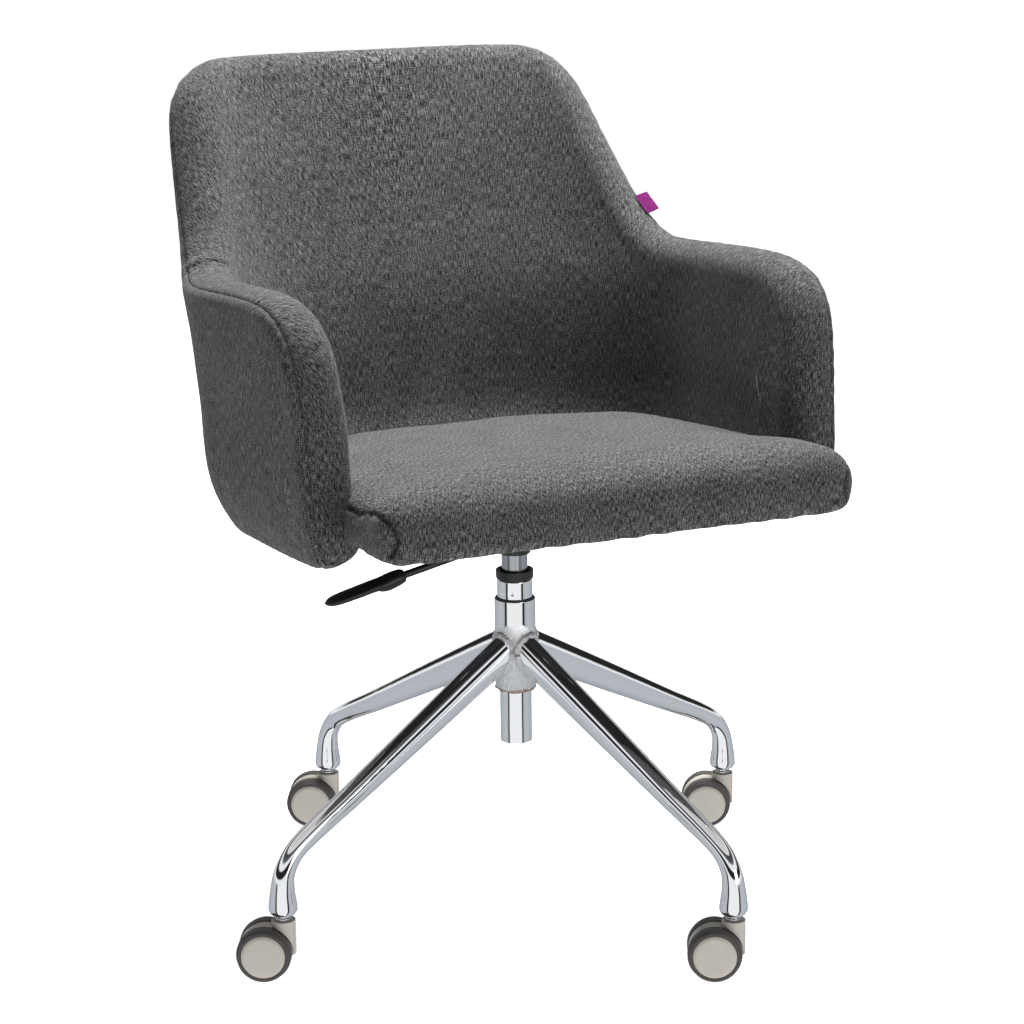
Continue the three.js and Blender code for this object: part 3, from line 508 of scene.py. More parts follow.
def leg_rings(count=90, sides=48):
    """Rings of the leg that points along +X, from the hub to the foot."""
    sections = np.array(LEG_SECTIONS, float)
    steps = np.linalg.norm(np.diff(sections[:, :2], axis=0), axis=1)
    chord = np.concatenate([[0], np.cumsum(steps)])
    along = chord[-1] * np.linspace(0, 1, count) ** LEG_CROWDING
    reach, height, half_depth, half_width = (smooth(list(zip(chord, column)), along) for column in sections.T)
    slope = np.arctan2(np.gradient(height, along), np.gradient(reach, along))
    angles = np.arange(sides) * 2 * math.pi / sides
    up, side = np.outer(half_depth, np.sin(angles)), np.outer(half_width, np.cos(angles))
    x = reach[:, None] - up * np.sin(slope)[:, None]
    z = height[:, None] + up * np.cos(slope)[:, None]
    return np.stack([x, side, z], -1)


def meet_hub(rings):
    """Slides the points that lie inside the hub's wall outward along the leg until they are on it."""
    along = rings[20, 0] - rings[2, 0]
    along /= np.linalg.norm(along)
    inside = np.hypot(rings[..., 0], rings[..., 1]) < LEG_JOINT_RADIUS
    start = rings[inside]
    a = along[0] ** 2
    b = start[:, 0] * along[0]
    c = start[:, 0] ** 2 + start[:, 1] ** 2 - LEG_JOINT_RADIUS**2
    rings[inside] = start + along * ((-b + np.sqrt(b * b - a * c)) / a)[:, None]
    return rings


def sleeve_profile(sizes):
    """The section of a plain sleeve."""
    bore, radius, bottom, top = (sizes[key] for key in ("bore", "radius", "bottom", "top"))
    return [[bore, bottom], [radius, bottom], [radius, top], [bore, top]]


def weld_bead(path, weld, seed):
    """A bead of uneven thickness along a closed path."""
    return tube_along(path, weld["radius"] * (1 + weld["ripple"] * waves(path, weld["ripple_length"], seed)))


def make_legs():
    rings = meet_hub(leg_rings())
    count, sides = rings.shape[:2]
    joint = rings[0]
    for i in range(LEG_COUNT):
        angle = FIRST_LEG_ANGLE + i * math.pi / 2
        turn = Matrix.Rotation(angle, 4, "Z")
        add_piece(
            f"leg_tube_{i + 1}", rings, grid_faces(count, sides), FINISH["chrome"], "base",
            [f"leg_{i + 1}"], turn, sharp=60,
        )
        bead = weld_bead(joint, LEG_WELD, i)
        bead[..., 0] += LEG_WELD["out"]
        add_piece(
            f"leg_weld_{i + 1}", bead, grid_faces(len(joint), 12, closed_rows=True), FINISH["weld"],
            "base", place=turn,
        )
        stem_place = turn @ Matrix.Translation((STEM_RADIUS * MM, 0, 0))
        add_turned(
            f"foot_socket_{i + 1}", sleeve_profile(FOOT_SOCKET), FINISH["socket"], "base",
            [f"castor_socket_{i + 1}"], 0.3, 32, stem_place,
        )


def dimpled(points):
    """Presses the crimp dimples into the stand tube."""
    angle = np.arctan2(points[..., 1], points[..., 0])
    radius = np.hypot(points[..., 0], points[..., 1])
    outer = radius > STAND["radius"] - 0.4
    for degrees in DIMPLE["angles"]:
        away = np.angle(np.exp(1j * (angle - math.radians(degrees)))) * radius
        distance = np.hypot(away, points[..., 2] - DIMPLE["height"]) / DIMPLE["reach"]
        knob = 1 - DIMPLE["knob"] * np.exp(-((2 * distance) ** 2))
        radius = radius - outer * DIMPLE["depth"] * np.exp(-(distance**2)) * knob
    return np.stack([radius * np.cos(angle), radius * np.sin(angle), points[..., 2]], -1)


def stand_profile():
    """The stand tube's section, with rows close together where the dimples are."""
    s = STAND
    close_rows = np.arange(HUB["top"] - 4, s["top"] - 0.6, 0.6)
    neck_bottom, neck_top = s["neck"]
    inner_top, inner_bottom = s["inner_neck"]
    return [
        [s["foot"], s["bottom"]], [s["foot"], neck_bottom], [s["radius"], neck_top],
        *[[s["radius"], z] for z in close_rows],
        [s["radius"] - 0.5, s["top"]], [s["bore"], s["top"]], [s["bore"], inner_top],
        [s["foot_bore"], inner_bottom], [s["foot_bore"], s["floor"][0]], [s["floor_hole"], s["floor"][0]],
        [s["floor_hole"], s["floor"][1]], [s["foot_bore"], s["floor"][1]],
        [s["foot_bore"] + 0.5, s["bottom"]],
    ]


def make_column():
    add_turned("hub_shell", sleeve_profile(HUB), FINISH["hub"], "base", ["hub_tube"], corner=0.8, sides=96)
    angles = np.arange(120) * 2 * math.pi / 120
    circle = np.stack([np.cos(angles), np.sin(angles), np.zeros(120)], -1) * HUB_WELD["ring"]
    circle[:, 2] = HUB_WELD["height"] + 0.5 * waves(circle, 9, 7)
    bead = weld_bead(circle, HUB_WELD, 8)
    add_piece("hub_weld", bead, grid_faces(120, 12, closed_rows=True), FINISH["weld"], "base")
    profile = stand_profile()
    points = dimpled(turned_points(profile, STAND_SIDES))
    stand = add_piece(
        "stand_shell", points, grid_faces(len(profile), STAND_SIDES, closed_rows=True), FINISH["chrome"],
        "base", ["stand_tube"],
    )
    even_shading(stand)
    bush = [
        [BUSH["bore"], BUSH["bottom"]], [BUSH["sleeve"], BUSH["bottom"]], [BUSH["sleeve"], BUSH["shoulder"]],
        [BUSH["radius"] - 0.6, BUSH["shoulder"]], [BUSH["radius"], BUSH["shoulder"] + 2],
        [BUSH["radius"], BUSH["top"]], [BUSH["radius"] - 2.2, BUSH["top"]],
        [BUSH["bore"] + 0.4, BUSH["top"] - 2.5], [BUSH["bore"], BUSH["top"] - 3],
    ]
    add_turned("guide_bush_cap", bush, FINISH["black_plastic"], "base", ["guide_bush"], corner=0.6)
    add_turned("hub_seal", sleeve_profile(HUB_SEAL), FINISH["black_plastic"], "base", corner=0.3)
    c = CYLINDER
    shoulder = c["top"] - c["head"]
    floor_top = c["bottom"] + c["floor"]
    cylinder = [
        [c["rod_bore"], c["bottom"]], [c["radius"], c["bottom"]], [c["radius"], shoulder],
        [c["radius"] - 0.6, c["top"]], [c["valve_bore"], c["top"]], [c["valve_bore"], shoulder],
        [c["inside"], shoulder], [c["inside"], floor_top], [c["rod_bore"], floor_top],
    ]
    add_turned("gas_cylinder_skin", cylinder, FINISH["cylinder"], "seat", ["gas_cylinder"])


# ------------------------------------------------------------------ the castors


def apply_modifiers(piece):
    """Replaces the piece's mesh with what its modifiers make of it."""
    evaluated = piece.evaluated_get(bpy.context.evaluated_depsgraph_get())
    mesh = bpy.data.meshes.new_from_object(evaluated)
    piece.modifiers.clear()
    piece.data = mesh


def loose_solid(name, points, faces, place=None):
    """A plain closed mesh for cutting and joining, in metres."""
    solid = new_object(name, points, faces)
    if place is not None:
        solid.data.transform(place)
    clean(solid.data)
    return solid


def loose_rod(name, radius, bottom, top, place=None, sides=64):
    points = turned_points([[radius, bottom], [radius, top]], sides)
    return loose_solid(name, points, grid_faces(2, sides), place)


def loose_box(name, across_x, across_y, across_z):
    corners = [(x, y, z) for z in across_z for y in across_y for x in across_x]
    faces = [(0, 2, 3, 1), (4, 5, 7, 6), (0, 1, 5, 4), (2, 6, 7, 3), (0, 4, 6, 2), (1, 3, 7, 5)]
    return loose_solid(name, corners, faces)


def combine(base, tools, operation):
    for tool in tools:
        modifier = base.modifiers.new(operation, "BOOLEAN")
        modifier.operation = operation
        modifier.object = tool
        modifier.solver = "EXACT"
    bpy.context.view_layer.update()
    apply_modifiers(base)
    for tool in tools:
        bpy.data.objects.remove(tool)


def hood_mesh():
    """The castor's body: a cheek between the wheels and a barrel for the stem, hollowed for the wheels."""
    axle = Matrix.Translation((TRAIL * MM, 0, WHEEL_RADIUS * MM)) @ Matrix.Rotation(-math.pi / 2, 4, "X")
    half = HOOD["half"]
    cheek = loose_rod("cheek", HOOD["radius"], -half, half, axle, 96)
    barrel = loose_rod("barrel", HOOD["barrel"], HOOD["bottom"], HOOD["top"])
    web = loose_box("web", (HOOD["web_back"], TRAIL), (-half, half), (HOOD["bottom"], HOOD["web_top"]))
    combine(cheek, [barrel, web], "UNION")
    rooms = [
        loose_rod("room", WHEEL_RADIUS + 1, start, end, axle, 96)
        for start, end in ((half, WHEEL_OUTER), (-WHEEL_OUTER, -half))
    ]
    bore = loose_rod("bore", HOOD["stem_bore"], STEM["bottom"] - 2, HOOD["top"] + PAST)
    below = (-PAST, HOOD["underside"])
    underside = loose_box("underside", (-PAST, TRAIL + HOOD["radius"] + PAST), (-2 * half, 2 * half), below)
    combine(cheek, [*rooms, bore, underside], "DIFFERENCE")
    bevel = cheek.modifiers.new("edges", "BEVEL")
    bevel.width = HOOD["bevel"] * MM
    bevel.segments = 2
    bevel.limit_method = "ANGLE"
    bevel.angle_limit = math.radians(40)
    bpy.context.view_layer.update()
    apply_modifiers(cheek)
    mesh = cheek.data
    bpy.data.objects.remove(cheek)
    return mesh


def wheel_profiles():
    """Profiles of the disc and of its stepped tyre, as radius and distance along the axle."""
    disc = [
        [AXLE_ROOM["radius"], WHEEL_INNER], [DISC_RADIUS, WHEEL_INNER], [DISC_RADIUS, WHEEL_OUTER - 1.2],
        [DISC_RADIUS - 0.4, WHEEL_OUTER - 0.9], [DISC_RADIUS - 0.9, WHEEL_OUTER - 1.2],
        [DISC_RADIUS - 1.5, WHEEL_OUTER - 0.5], [DISC_RADIUS - 3, WHEEL_OUTER - 0.15], [0, WHEEL_OUTER],
        [0, AXLE_ROOM["end"]], [AXLE_ROOM["radius"], AXLE_ROOM["end"]],
    ]
    tyre = [
        [DISC_RADIUS + 0.2, WHEEL_INNER + 0.4], [WHEEL_RADIUS - 0.8, WHEEL_INNER + 0.4],
        [WHEEL_RADIUS, WHEEL_INNER + 1.4], [WHEEL_RADIUS, WHEEL_OUTER - 6.5],
        [WHEEL_RADIUS - 0.5, WHEEL_OUTER - 6], [WHEEL_RADIUS - 0.5, WHEEL_OUTER - 5],
        [WHEEL_RADIUS - 1.3, WHEEL_OUTER - 4.6],
        [WHEEL_RADIUS - 1.3, WHEEL_OUTER - 1.6], [WHEEL_RADIUS - 2.2, WHEEL_OUTER - 0.6],
        [DISC_RADIUS + 0.8, WHEEL_OUTER - 0.5], [DISC_RADIUS + 0.2, WHEEL_OUTER - 1],
    ]
    return disc, tyre


def make_castors():
    hood = hood_mesh()
    disc, tyre = wheel_profiles()
    stem = [
        [0, STEM["bottom"]], [STEM["radius"], STEM["bottom"]], [STEM["radius"], STEM["collar_bottom"]],
        [STEM["collar"], STEM["collar_bottom"]], [STEM["collar"], STEM["collar_bottom"] + 1.9],
        [STEM["collar"] - 0.9, STEM["collar_bottom"] + 2.4], [STEM["collar"] - 0.9, STEM["collar_top"]],
        [STEM["radius"], STEM["collar_top"]], [STEM["radius"], STEM["top"]], [0, STEM["top"]],
    ]
    for i in range(LEG_COUNT):
        name = str(i + 1)
        angle = FIRST_LEG_ANGLE + i * math.pi / 2
        at_stem = Matrix.Translation(Vector((math.cos(angle), math.sin(angle), 0)) * STEM_RADIUS * MM)
        place = at_stem @ Matrix.Rotation(CASTOR_HEADING, 4, "Z")
        body = bpy.data.objects.new(f"castor_body_{name}", hood.copy())
        bpy.context.scene.collection.objects.link(body)
        body.data.transform(place)
        body.data.shade_smooth()
        body.data.set_sharp_from_angle(angle=math.radians(35))
        dress(body, FINISH["castor"])
        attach(body, f"castor_{name}")
        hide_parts(f"castor_hood_{name}")
        even_shading(body)
        add_turned(
            f"stem_pin_{name}", stem, FINISH["zinc"], "base", [f"castor_stem_{name}"], 0.4, 48, at_stem,
        )
        for side, turn in (("a", 0), ("b", math.pi)):
            on_axle = Matrix.Translation((TRAIL * MM, 0, WHEEL_RADIUS * MM)) @ Matrix.Rotation(turn, 4, "Z")
            wheel = place @ on_axle @ Matrix.Rotation(-math.pi / 2, 4, "X")
            wheel_body = f"wheel_{name}{side}"
            for piece, profile, finish in (("wheel", disc, "castor"), ("tyre", tyre, "tyre")):
                add_turned(
                    f"{piece}_turned_{name}{side}", profile, FINISH[finish], wheel_body,
                    [f"castor_{piece}_{name}{side}"], 0.35, 96, wheel,
                )


# ------------------------------------------------------------------ lever and seat support


def make_lever():
    x, height, half_height, half_width = np.array(GRIP_SECTIONS, float).T
    along = np.linspace(x[0], x[-1], GRIP_RINGS)
    order = np.argsort(x)
    height, half_height, half_width = (
        smooth(list(zip(x[order], column[order])), along) for column in (height, half_height, half_width)
    )
    angles = np.arange(GRIP_SIDES) * 2 * math.pi / GRIP_SIDES
    y = np.outer(half_width, np.cos(angles))
    z = height[:, None] + np.outer(half_height, np.sin(angles))
    rings = np.stack([np.repeat(along[:, None], GRIP_SIDES, 1), y, z], -1)
    ends = [np.repeat(ring.mean(0)[None], GRIP_SIDES, 0)[None] for ring in (rings[0], rings[-1])]
    rings = np.concatenate([ends[0], rings, ends[1]])
    pivot = Matrix.Translation(Vector(LEVER["pivot"]) * MM) @ Matrix.Rotation(-LEVER["droop"], 4, "Y")
    add_piece(
        "lever_handle", rings, grid_faces(len(rings), GRIP_SIDES), FINISH["black_plastic"], "lever",
        ["lever_grip"], pivot, sharp=50,
    )
    lay = pivot @ Matrix.Rotation(math.pi / 2, 4, "Y")
    rod = sleeve_profile({"bore": 0, "radius": LEVER["rod"], "bottom": LEVER["outer"], "top": LEVER["inner"]})
    add_turned("lever_bar", rod, FINISH["black_steel"], "lever", ["lever_rod"], 0.4, 40, lay)


def show_cad(name, finish, bevel=0.0):
    """Shows a CAD node in its finish, with its edges broken where a bevel is given."""
    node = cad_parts[name]
    dress(node, finish)
    if bevel:
        edges = node.modifiers.new("edges", "BEVEL")
        edges.width = bevel * MM
        edges.segments = 2
        edges.limit_method = "ANGLE"
        edges.angle_limit = math.radians(40)


def make_seat_support():
    hub = SOCKET_HUB
    profile = [
        [hub["bore"], hub["bottom"]], [hub["lip"], hub["bottom"]], [hub["lip"] + 1, hub["bottom"] + 4],
        [hub["radius"], hub["bottom"] + hub["lip_height"]], [hub["radius"], hub["top"]],
        [hub["room"], hub["top"]], [hub["room"], hub["room_bottom"]], [hub["bore"], hub["room_bottom"]],
    ]
    add_turned("plate_hub_casting", profile, FINISH["black_steel"], "seat", ["plate_hub"], corner=1.0)
    show_cad("seat_plate", FINISH["black_steel"], 0.5)
    show_cad("underside_cover", FINISH["cambric"])
    show_cad("seat_board", FINISH["cambric"], 1.5)
    for i in range(4):
        show_cad(f"plate_bolt_{i + 1}", FINISH["zinc"], 0.4)
        show_cad(f"castor_axle_{i + 1}", FINISH["zinc"])
    for name in ("piston_rod", "retaining_clip", "thrust_bearing", "valve_pin", "lever_pin"):
        show_cad(name, FINISH["zinc"])


# ------------------------------------------------------------------ the upholstered shell


def u_curve():
    """Lengths along the U's curved half and the angles reached there."""
    angles = np.linspace(0, math.pi / 2, 401)
    x = U_PLAN["half_width"] * np.sin(angles) ** (2 / ROUNDNESS)
    y = U_PLAN["depth"] * np.maximum(np.cos(angles), 0) ** (2 / ROUNDNESS)
    lengths = np.concatenate([[0], np.cumsum(np.hypot(np.diff(x), np.diff(y)))])
    return lengths, angles


U_LENGTHS, U_ANGLES = u_curve()


def on_shell(uv):
    """Points of the shell's middle surface for (u, z) pairs."""
    u, z = uv[..., 0], uv[..., 1]
    angle = np.interp(np.abs(u), U_LENGTHS, U_ANGLES)
    beyond = np.maximum(np.abs(u) - U_LENGTHS[-1], 0)
    rise = np.clip((z - SQUARER["from"]) / SQUARER["rise"], 0, 1.2)
    power = 2 / (ROUNDNESS + SQUARER["by"] * rise)
    x = smooth(HALF_WIDTH, z) * np.sin(angle) ** power - ARM_TOE_IN * beyond
    depth = smooth(BACK_REACH, z) - ARMS_FROM
    y = ARMS_FROM + depth * np.maximum(np.cos(angle), 0) ** power - beyond
    return np.stack([np.sign(u) * x, y, z], -1)


def shell_normal(uv):
    """Directions from the middle surface towards the sitter."""
    across = on_shell(uv + (2, 0)) - on_shell(uv - (2, 0))
    upward = on_shell(uv + (0, 2)) - on_shell(uv - (0, 2))
    normal = np.cross(across, upward)
    return normal / np.linalg.norm(normal, axis=-1, keepdims=True)


def along_spline(points, fractions):
    """Points of the Catmull-Rom curve at fractions of its length."""
    p = np.array(points, float)
    padded = np.vstack([p[:1], p, p[-1:]])
    t = np.linspace(0, len(p) - 1, 1200)
    i = np.minimum(t.astype(int), len(p) - 2)
    t = (t - i)[:, None]
    a, b, c, d = (padded[i + k] for k in range(4))
    curve = b + 0.5 * t * ((c - a) + t * ((2 * a - 5 * b + 4 * c - d) + t * (3 * (b - c) + d - a)))
    lengths = np.concatenate([[0], np.cumsum(np.linalg.norm(np.diff(curve, axis=0), axis=1))])
    return np.column_stack([np.interp(fractions * lengths[-1], lengths, curve[:, k]) for k in (0, 1)])


def fractions_with_seams(count, length, *seams):
    """Even steps from 0 to 1 along an edge, with closer ones next to its cross seams."""
    steps = np.linspace(0, 1, count)
    for seam in seams:
        close = seam + np.array(NEAR_CROSS_SEAM) / length
        gap = CLEAR_OF_NEXT / length
        clear = (steps < close[0] - gap) | (steps > close[-1] + gap)
        steps = np.sort(np.concatenate([steps[clear], close]))
    return steps


EDGE_STEPS = fractions_with_seams(150, EDGE_LENGTH, CROSS_SEAMS["arm_joint"], CROSS_SEAMS["arm_top"])
FRONT_STEPS = fractions_with_seams(70, FRONT_LENGTH, CROSS_SEAMS["arm_front"])


def both_sides(right):
    """The closed loop from its right half, which runs from the top middle to the bottom middle."""
    return np.vstack([right, right[::-1][1:-1] * (-1, 1)])


def shell_outline():
    """The shell's outline, clockwise from the top middle as the sitter's left is at +u."""
    top = along_spline(TOP_EDGE, EDGE_STEPS)
    front = along_spline(FRONT_EDGE, FRONT_STEPS)[::-1][1:-1]
    bottom = along_spline(BOTTOM_EDGE, EDGE_STEPS)[::-1]
    return both_sides(np.vstack([top, front, bottom]))


def shell_spine():
    """The place in the middle of the shell that each outline point is joined to."""
    reach = np.concatenate([EDGE_STEPS, np.ones(len(FRONT_STEPS) - 2), EDGE_STEPS[::-1]]) * SPINE[-1][0]
    return both_sides(np.column_stack([reach, np.interp(reach, *zip(*SPINE))]))


def inward(outline):
    """For each outline point, the step that takes it one millimetre in from the edge."""
    ahead = np.roll(outline, -1, 0) - outline
    ahead /= np.linalg.norm(ahead, axis=1)[:, None]
    square = np.column_stack([ahead[:, 1], -ahead[:, 0]])
    gentle = square.copy()
    for _ in range(40):
        gentle = (np.roll(gentle, 1, 0) + gentle + np.roll(gentle, -1, 0)) / 3
    gentle /= np.linalg.norm(gentle, axis=1)[:, None]
    return gentle / np.maximum((gentle * square).sum(1), 0.6)[:, None]


def distance_to(outline, places):
    """Distance from each place to the closed outline, all in (u, z)."""
    start, step = outline, np.roll(outline, -1, 0) - outline
    size = (step**2).sum(1)
    distances = []
    for row in places:
        to = row[:, None] - start[None]
        t = np.clip((to * step).sum(-1) / size, 0, 1)
        distances.append(np.sqrt(((to - step * t[..., None]) ** 2).sum(-1).min(1)))
    return np.array(distances)


def padding(depth, radius):
    """How far the cover stands off the middle surface, at a depth in from the edge."""
    return PAD_EDGE + PAD * np.sqrt(1 - np.maximum(1 - depth / radius, 0) ** PAD_EXPONENT)


def along_profile(depth, radius):
    """Length of the cover's path from the edge to a depth in from it."""
    depths = np.linspace(0, max(INNER_ROUND, OUTER_ROUND), 400)
    steps = np.hypot(np.diff(depths), np.diff(padding(depths, radius)))
    return np.interp(depth, depths, np.concatenate([[0], np.cumsum(steps)]))


def sheet_normals(points):
    """Unit normals of a grid that is closed along its second axis."""
    along = np.gradient(points, axis=0)
    around = np.roll(points, -1, 1) - np.roll(points, 1, 1)
    normals = np.cross(along, around)
    return normals / np.maximum(np.linalg.norm(normals, axis=-1, keepdims=True), 1e-9)


OUTLINE = shell_outline()
OUTLINE_LENGTH = np.concatenate([[0], np.cumsum(np.linalg.norm(np.diff(OUTLINE, axis=0), axis=1))])
ROUNDING = [0.12, 0.5, 1.1, 1.9, 2.8, 3.8, 5.2, 7, 9, 11.5, 14.5, 18, 22, 26]
TO_SPINE = [0.06, 0.13, 0.21, 0.3, 0.4, 0.5, 0.6, 0.7, 0.8, 0.9, 1]


def cover_rings(sides_and_depths):
    """(u, z) rings in from the edge and on to the spine, their signed depths, and how far each stands off."""
    step = inward(OUTLINE)
    rings = [OUTLINE + step * depth for _, depth in sides_and_depths]
    last_side, _ = sides_and_depths[-1]
    spine = shell_spine()
    rings += [rings[-1] + (spine - rings[-1]) * part for part in TO_SPINE]
    rings = np.array(rings)
    sides = np.array([side for side, _ in sides_and_depths] + [last_side] * len(TO_SPINE))[:, None]
    depths = distance_to(OUTLINE, rings)
    offsets = np.where(sides < 0, -padding(depths, OUTER_ROUND), padding(depths, INNER_ROUND))
    offsets = np.where(sides == 0, 0, offsets)
    return rings, depths * np.where(sides < 0, -1, 1), offsets


def cloth_coordinates(rings, sides_and_depths, radius):
    """(u, z), let out where the cover curves round the rim, so that its threads aren't stretched there."""
    step = inward(OUTLINE)
    panel_side = sides_and_depths[-1][0]
    cloth = rings.copy()
    for i, (side, depth) in enumerate(sides_and_depths):
        if side == panel_side:
            cloth[i] += step * (along_profile(depth, radius) - depth)
        else:
            cloth[i] = OUTLINE - step * along_profile(depth, OUTER_ROUND)
    last_depth = sides_and_depths[-1][1]
    let_out = along_profile(last_depth, radius) - last_depth
    for i, part in enumerate(TO_SPINE):
        cloth[len(sides_and_depths) + i] += step * let_out * (1 - part)
    return cloth


def cross_seam_places():
    """Lengths along the outline where fabric panels are joined across the rim."""
    joint = np.argmin(np.abs(EDGE_STEPS - CROSS_SEAMS["arm_joint"]))
    arm_top = np.argmin(np.abs(EDGE_STEPS - CROSS_SEAMS["arm_top"]))
    front = len(EDGE_STEPS) + np.argmin(np.abs(FRONT_STEPS[::-1][1:-1] - CROSS_SEAMS["arm_front"]))
    total = len(OUTLINE)
    return OUTLINE_LENGTH[[front, total - joint, total - arm_top]]


def stitched_detail(rings, depths):
    """Height of seams, puckers and slack over the cover."""
    along = np.repeat(OUTLINE_LENGTH[None], len(rings), 0)
    from_seam = depths + SEAM_DEPTH_IN
    groove = -SEAM["depth"] * np.exp(-((from_seam / SEAM["half_width"]) ** 2))
    past_rim = np.clip((depths - RIM["reach"]) / RIM["fade"], -30, 30)
    rim = (depths > -SEAM_DEPTH_IN) / (1 + np.exp(past_rim))
    joins = np.zeros_like(along)
    near_join = np.zeros_like(along)
    for place in cross_seam_places():
        joins -= CROSS_SEAM["depth"] * np.exp(-(((along - place) / CROSS_SEAM["half_width"]) ** 2))
        near_join += np.exp(-(((along - place) / CROSS_SEAM["pucker_reach"]) ** 2))
    flat = along.reshape(-1, 1)
    fine = waves(flat, PUCKER["pitch"], 3).reshape(along.shape)
    near_seam = np.exp(-np.abs(from_seam) / PUCKER["seam_reach"])
    puckers = fine * (PUCKER["at_seam"] * near_seam + PUCKER["at_cross_seam"] * near_join * rim)
    places = rings.reshape(-1, 2)
    slack = waves(places, SLACK["pitch"], 5).reshape(along.shape)
    ripple = waves(places * (1, 0.5), SLACK["ripple_pitch"], 6).reshape(along.shape)
    deep = np.clip(np.abs(depths) / SLACK["full_depth"], 0, 1)
    return groove + joins * rim + puckers + (SLACK["height"] * slack + SLACK["ripple"] * ripple) * deep


def add_cloth_uv(piece, coordinates):
    """Stores the cloth coordinates, in metres, of the mesh's points as its UV map."""
    layer = piece.data.uv_layers.new(name="cloth")
    corners = np.empty(len(piece.data.loops), int)
    piece.data.loops.foreach_get("vertex_index", corners)
    layer.data.foreach_set("uv", np.ascontiguousarray(coordinates[corners], np.float32).ravel())


def add_cover(name, sides_and_depths, radius, replaced, tucked):
    """One panel of the shell's cover, its first ring tucked into the main seam."""
    rings, depths, offsets = cover_rings(sides_and_depths)
    normals = shell_normal(rings)
    points = on_shell(rings) + normals * offsets[..., None]
    outward = sheet_normals(points)
    outward *= np.sign((outward * normals).sum(-1) * offsets)[..., None]
    points += outward * stitched_detail(rings, depths)[..., None]
    points[0] -= outward[0] * tucked
    piece = new_object(name, points, grid_faces(*rings.shape[:2]))
    add_cloth_uv(piece, cloth_coordinates(rings, sides_and_depths, radius).reshape(-1, 2) * MM)
    clean(piece.data, 2e-5)
    piece.data.shade_smooth()
    dress(piece, FINISH["shell"])
    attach(piece, "seat")
    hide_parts(*replaced)
    return piece


def make_shell():
    seam = SEAM_DEPTH_IN
    wrap = [seam + 0.3, seam, seam - 0.5, seam - 1.1, seam - 1.8, 1.9, 1.1, 0.5, 0.12]
    inner = [(-1, depth) for depth in wrap] + [(0, 0.0)] + [(1, depth) for depth in ROUNDING]
    outer_depths = [seam - 0.3, seam, seam + 0.5, seam + 1.1, seam + 1.9, seam + 3, 9.5, 12, 16, 21, 26]
    outer = [(-1, depth) for depth in outer_depths]
    add_cover("shell_inner_cover", inner, INNER_ROUND, ["inner_pad"], 3.0)
    add_cover("shell_outer_cover", outer, OUTER_ROUND, ["outer_pad", "shell_board"], 3.0)


def make_tag():
    """A folded ribbon that stands out of the shell's edge and leans over to its outer side."""
    place = np.array(TAG["edge"], float)
    step = np.array(TAG["direction"])
    out_step = np.array([-step[1], step[0]])

    def direction(of):
        way = on_shell(place + of) - on_shell(place - of)
        return way / np.linalg.norm(way)

    along = direction(step)
    out = direction(out_step) - TAG["lean"] * shell_normal(place)
    out /= np.linalg.norm(out)
    through = np.cross(along, out)
    across, reach = np.linspace(-0.5, 0.5, 25), np.linspace(0, 1, 15)
    rows = []
    for side in (1, -1):
        for part in reach if side == 1 else reach[::-1]:
            half = TAG["thickness"] / 2 * math.sqrt(max(1 - part ** TAG["fold_power"], 0.02))
            for a in across:
                curl = TAG["curl"] * part**2 * (a + TAG["curl_from"])
                curl += TAG["ripple"] * math.sin(TAG["ripple_rate"] * a)
                rows.append(
                    on_shell(place) + along * a * TAG["along"] + out * (TAG["start"] + part * TAG["proud"])
                    + through * (side * half + curl)
                )
    faces = grid_faces(2 * len(reach), len(across), closed_rows=True, closed_columns=False)
    piece = add_piece("woven_tag", rows, faces, FINISH["tag"], "seat", ["label_tab"], sharp=60)
    flat = np.array([v.co for v in piece.data.vertices])
    middle = on_shell(place) * MM
    add_cloth_uv(piece, np.column_stack([(flat - middle) @ along, (flat - middle) @ out]))


# ------------------------------------------------------------------ the seat cushion


def wing_share(y):
    """0 between the arms and 1 in front of them, where the cushion is wider."""
    flare = np.clip((CUSHION["wing_from"] - y) / (CUSHION["wing_from"] - CUSHION["wing_full"]), 0, 1)
    return flare * flare * (3 - 2 * flare)


def cushion_half_width(y):
    c = CUSHION
    back = np.clip((y - ARMS_FROM) / (c["back"] - ARMS_FROM), 0, 1)
    flare = wing_share(y)
    corner = np.clip((c["front"] + c["corner"] - y) / c["corner"], 0, 1)
    straight = c["half_width"] + (c["wing"] - c["half_width"]) * flare
    front = straight - c["corner"] * (1 - np.sqrt(1 - corner**2))
    behind = c["half_width"] * (1 - back**ROUNDNESS) ** (1 / ROUNDNESS)
    return np.where(y > ARMS_FROM, behind, front)


def cushion_top(y, across):
    c = CUSHION
    into_front = np.clip((c["front"] + c["front_round"] - y) / c["front_round"], 0, 1)
    waterfall = c["front_round"] * (1 - np.sqrt(1 - into_front**2))
    from_side = cushion_half_width(y) * (1 - np.abs(across))
    into_side = np.clip(1 - from_side / c["side_round"], 0, 1)
    shoulder = c["side_round"] * (1 - np.sqrt(1 - into_side**2)) * wing_share(y)
    drop = np.minimum(np.hypot(waterfall, shoulder), c["edge_height"] - c["bottom"] - 2)
    return c["edge_height"] + c["slope"] * y + c["crown"] * (1 - across**4) - drop


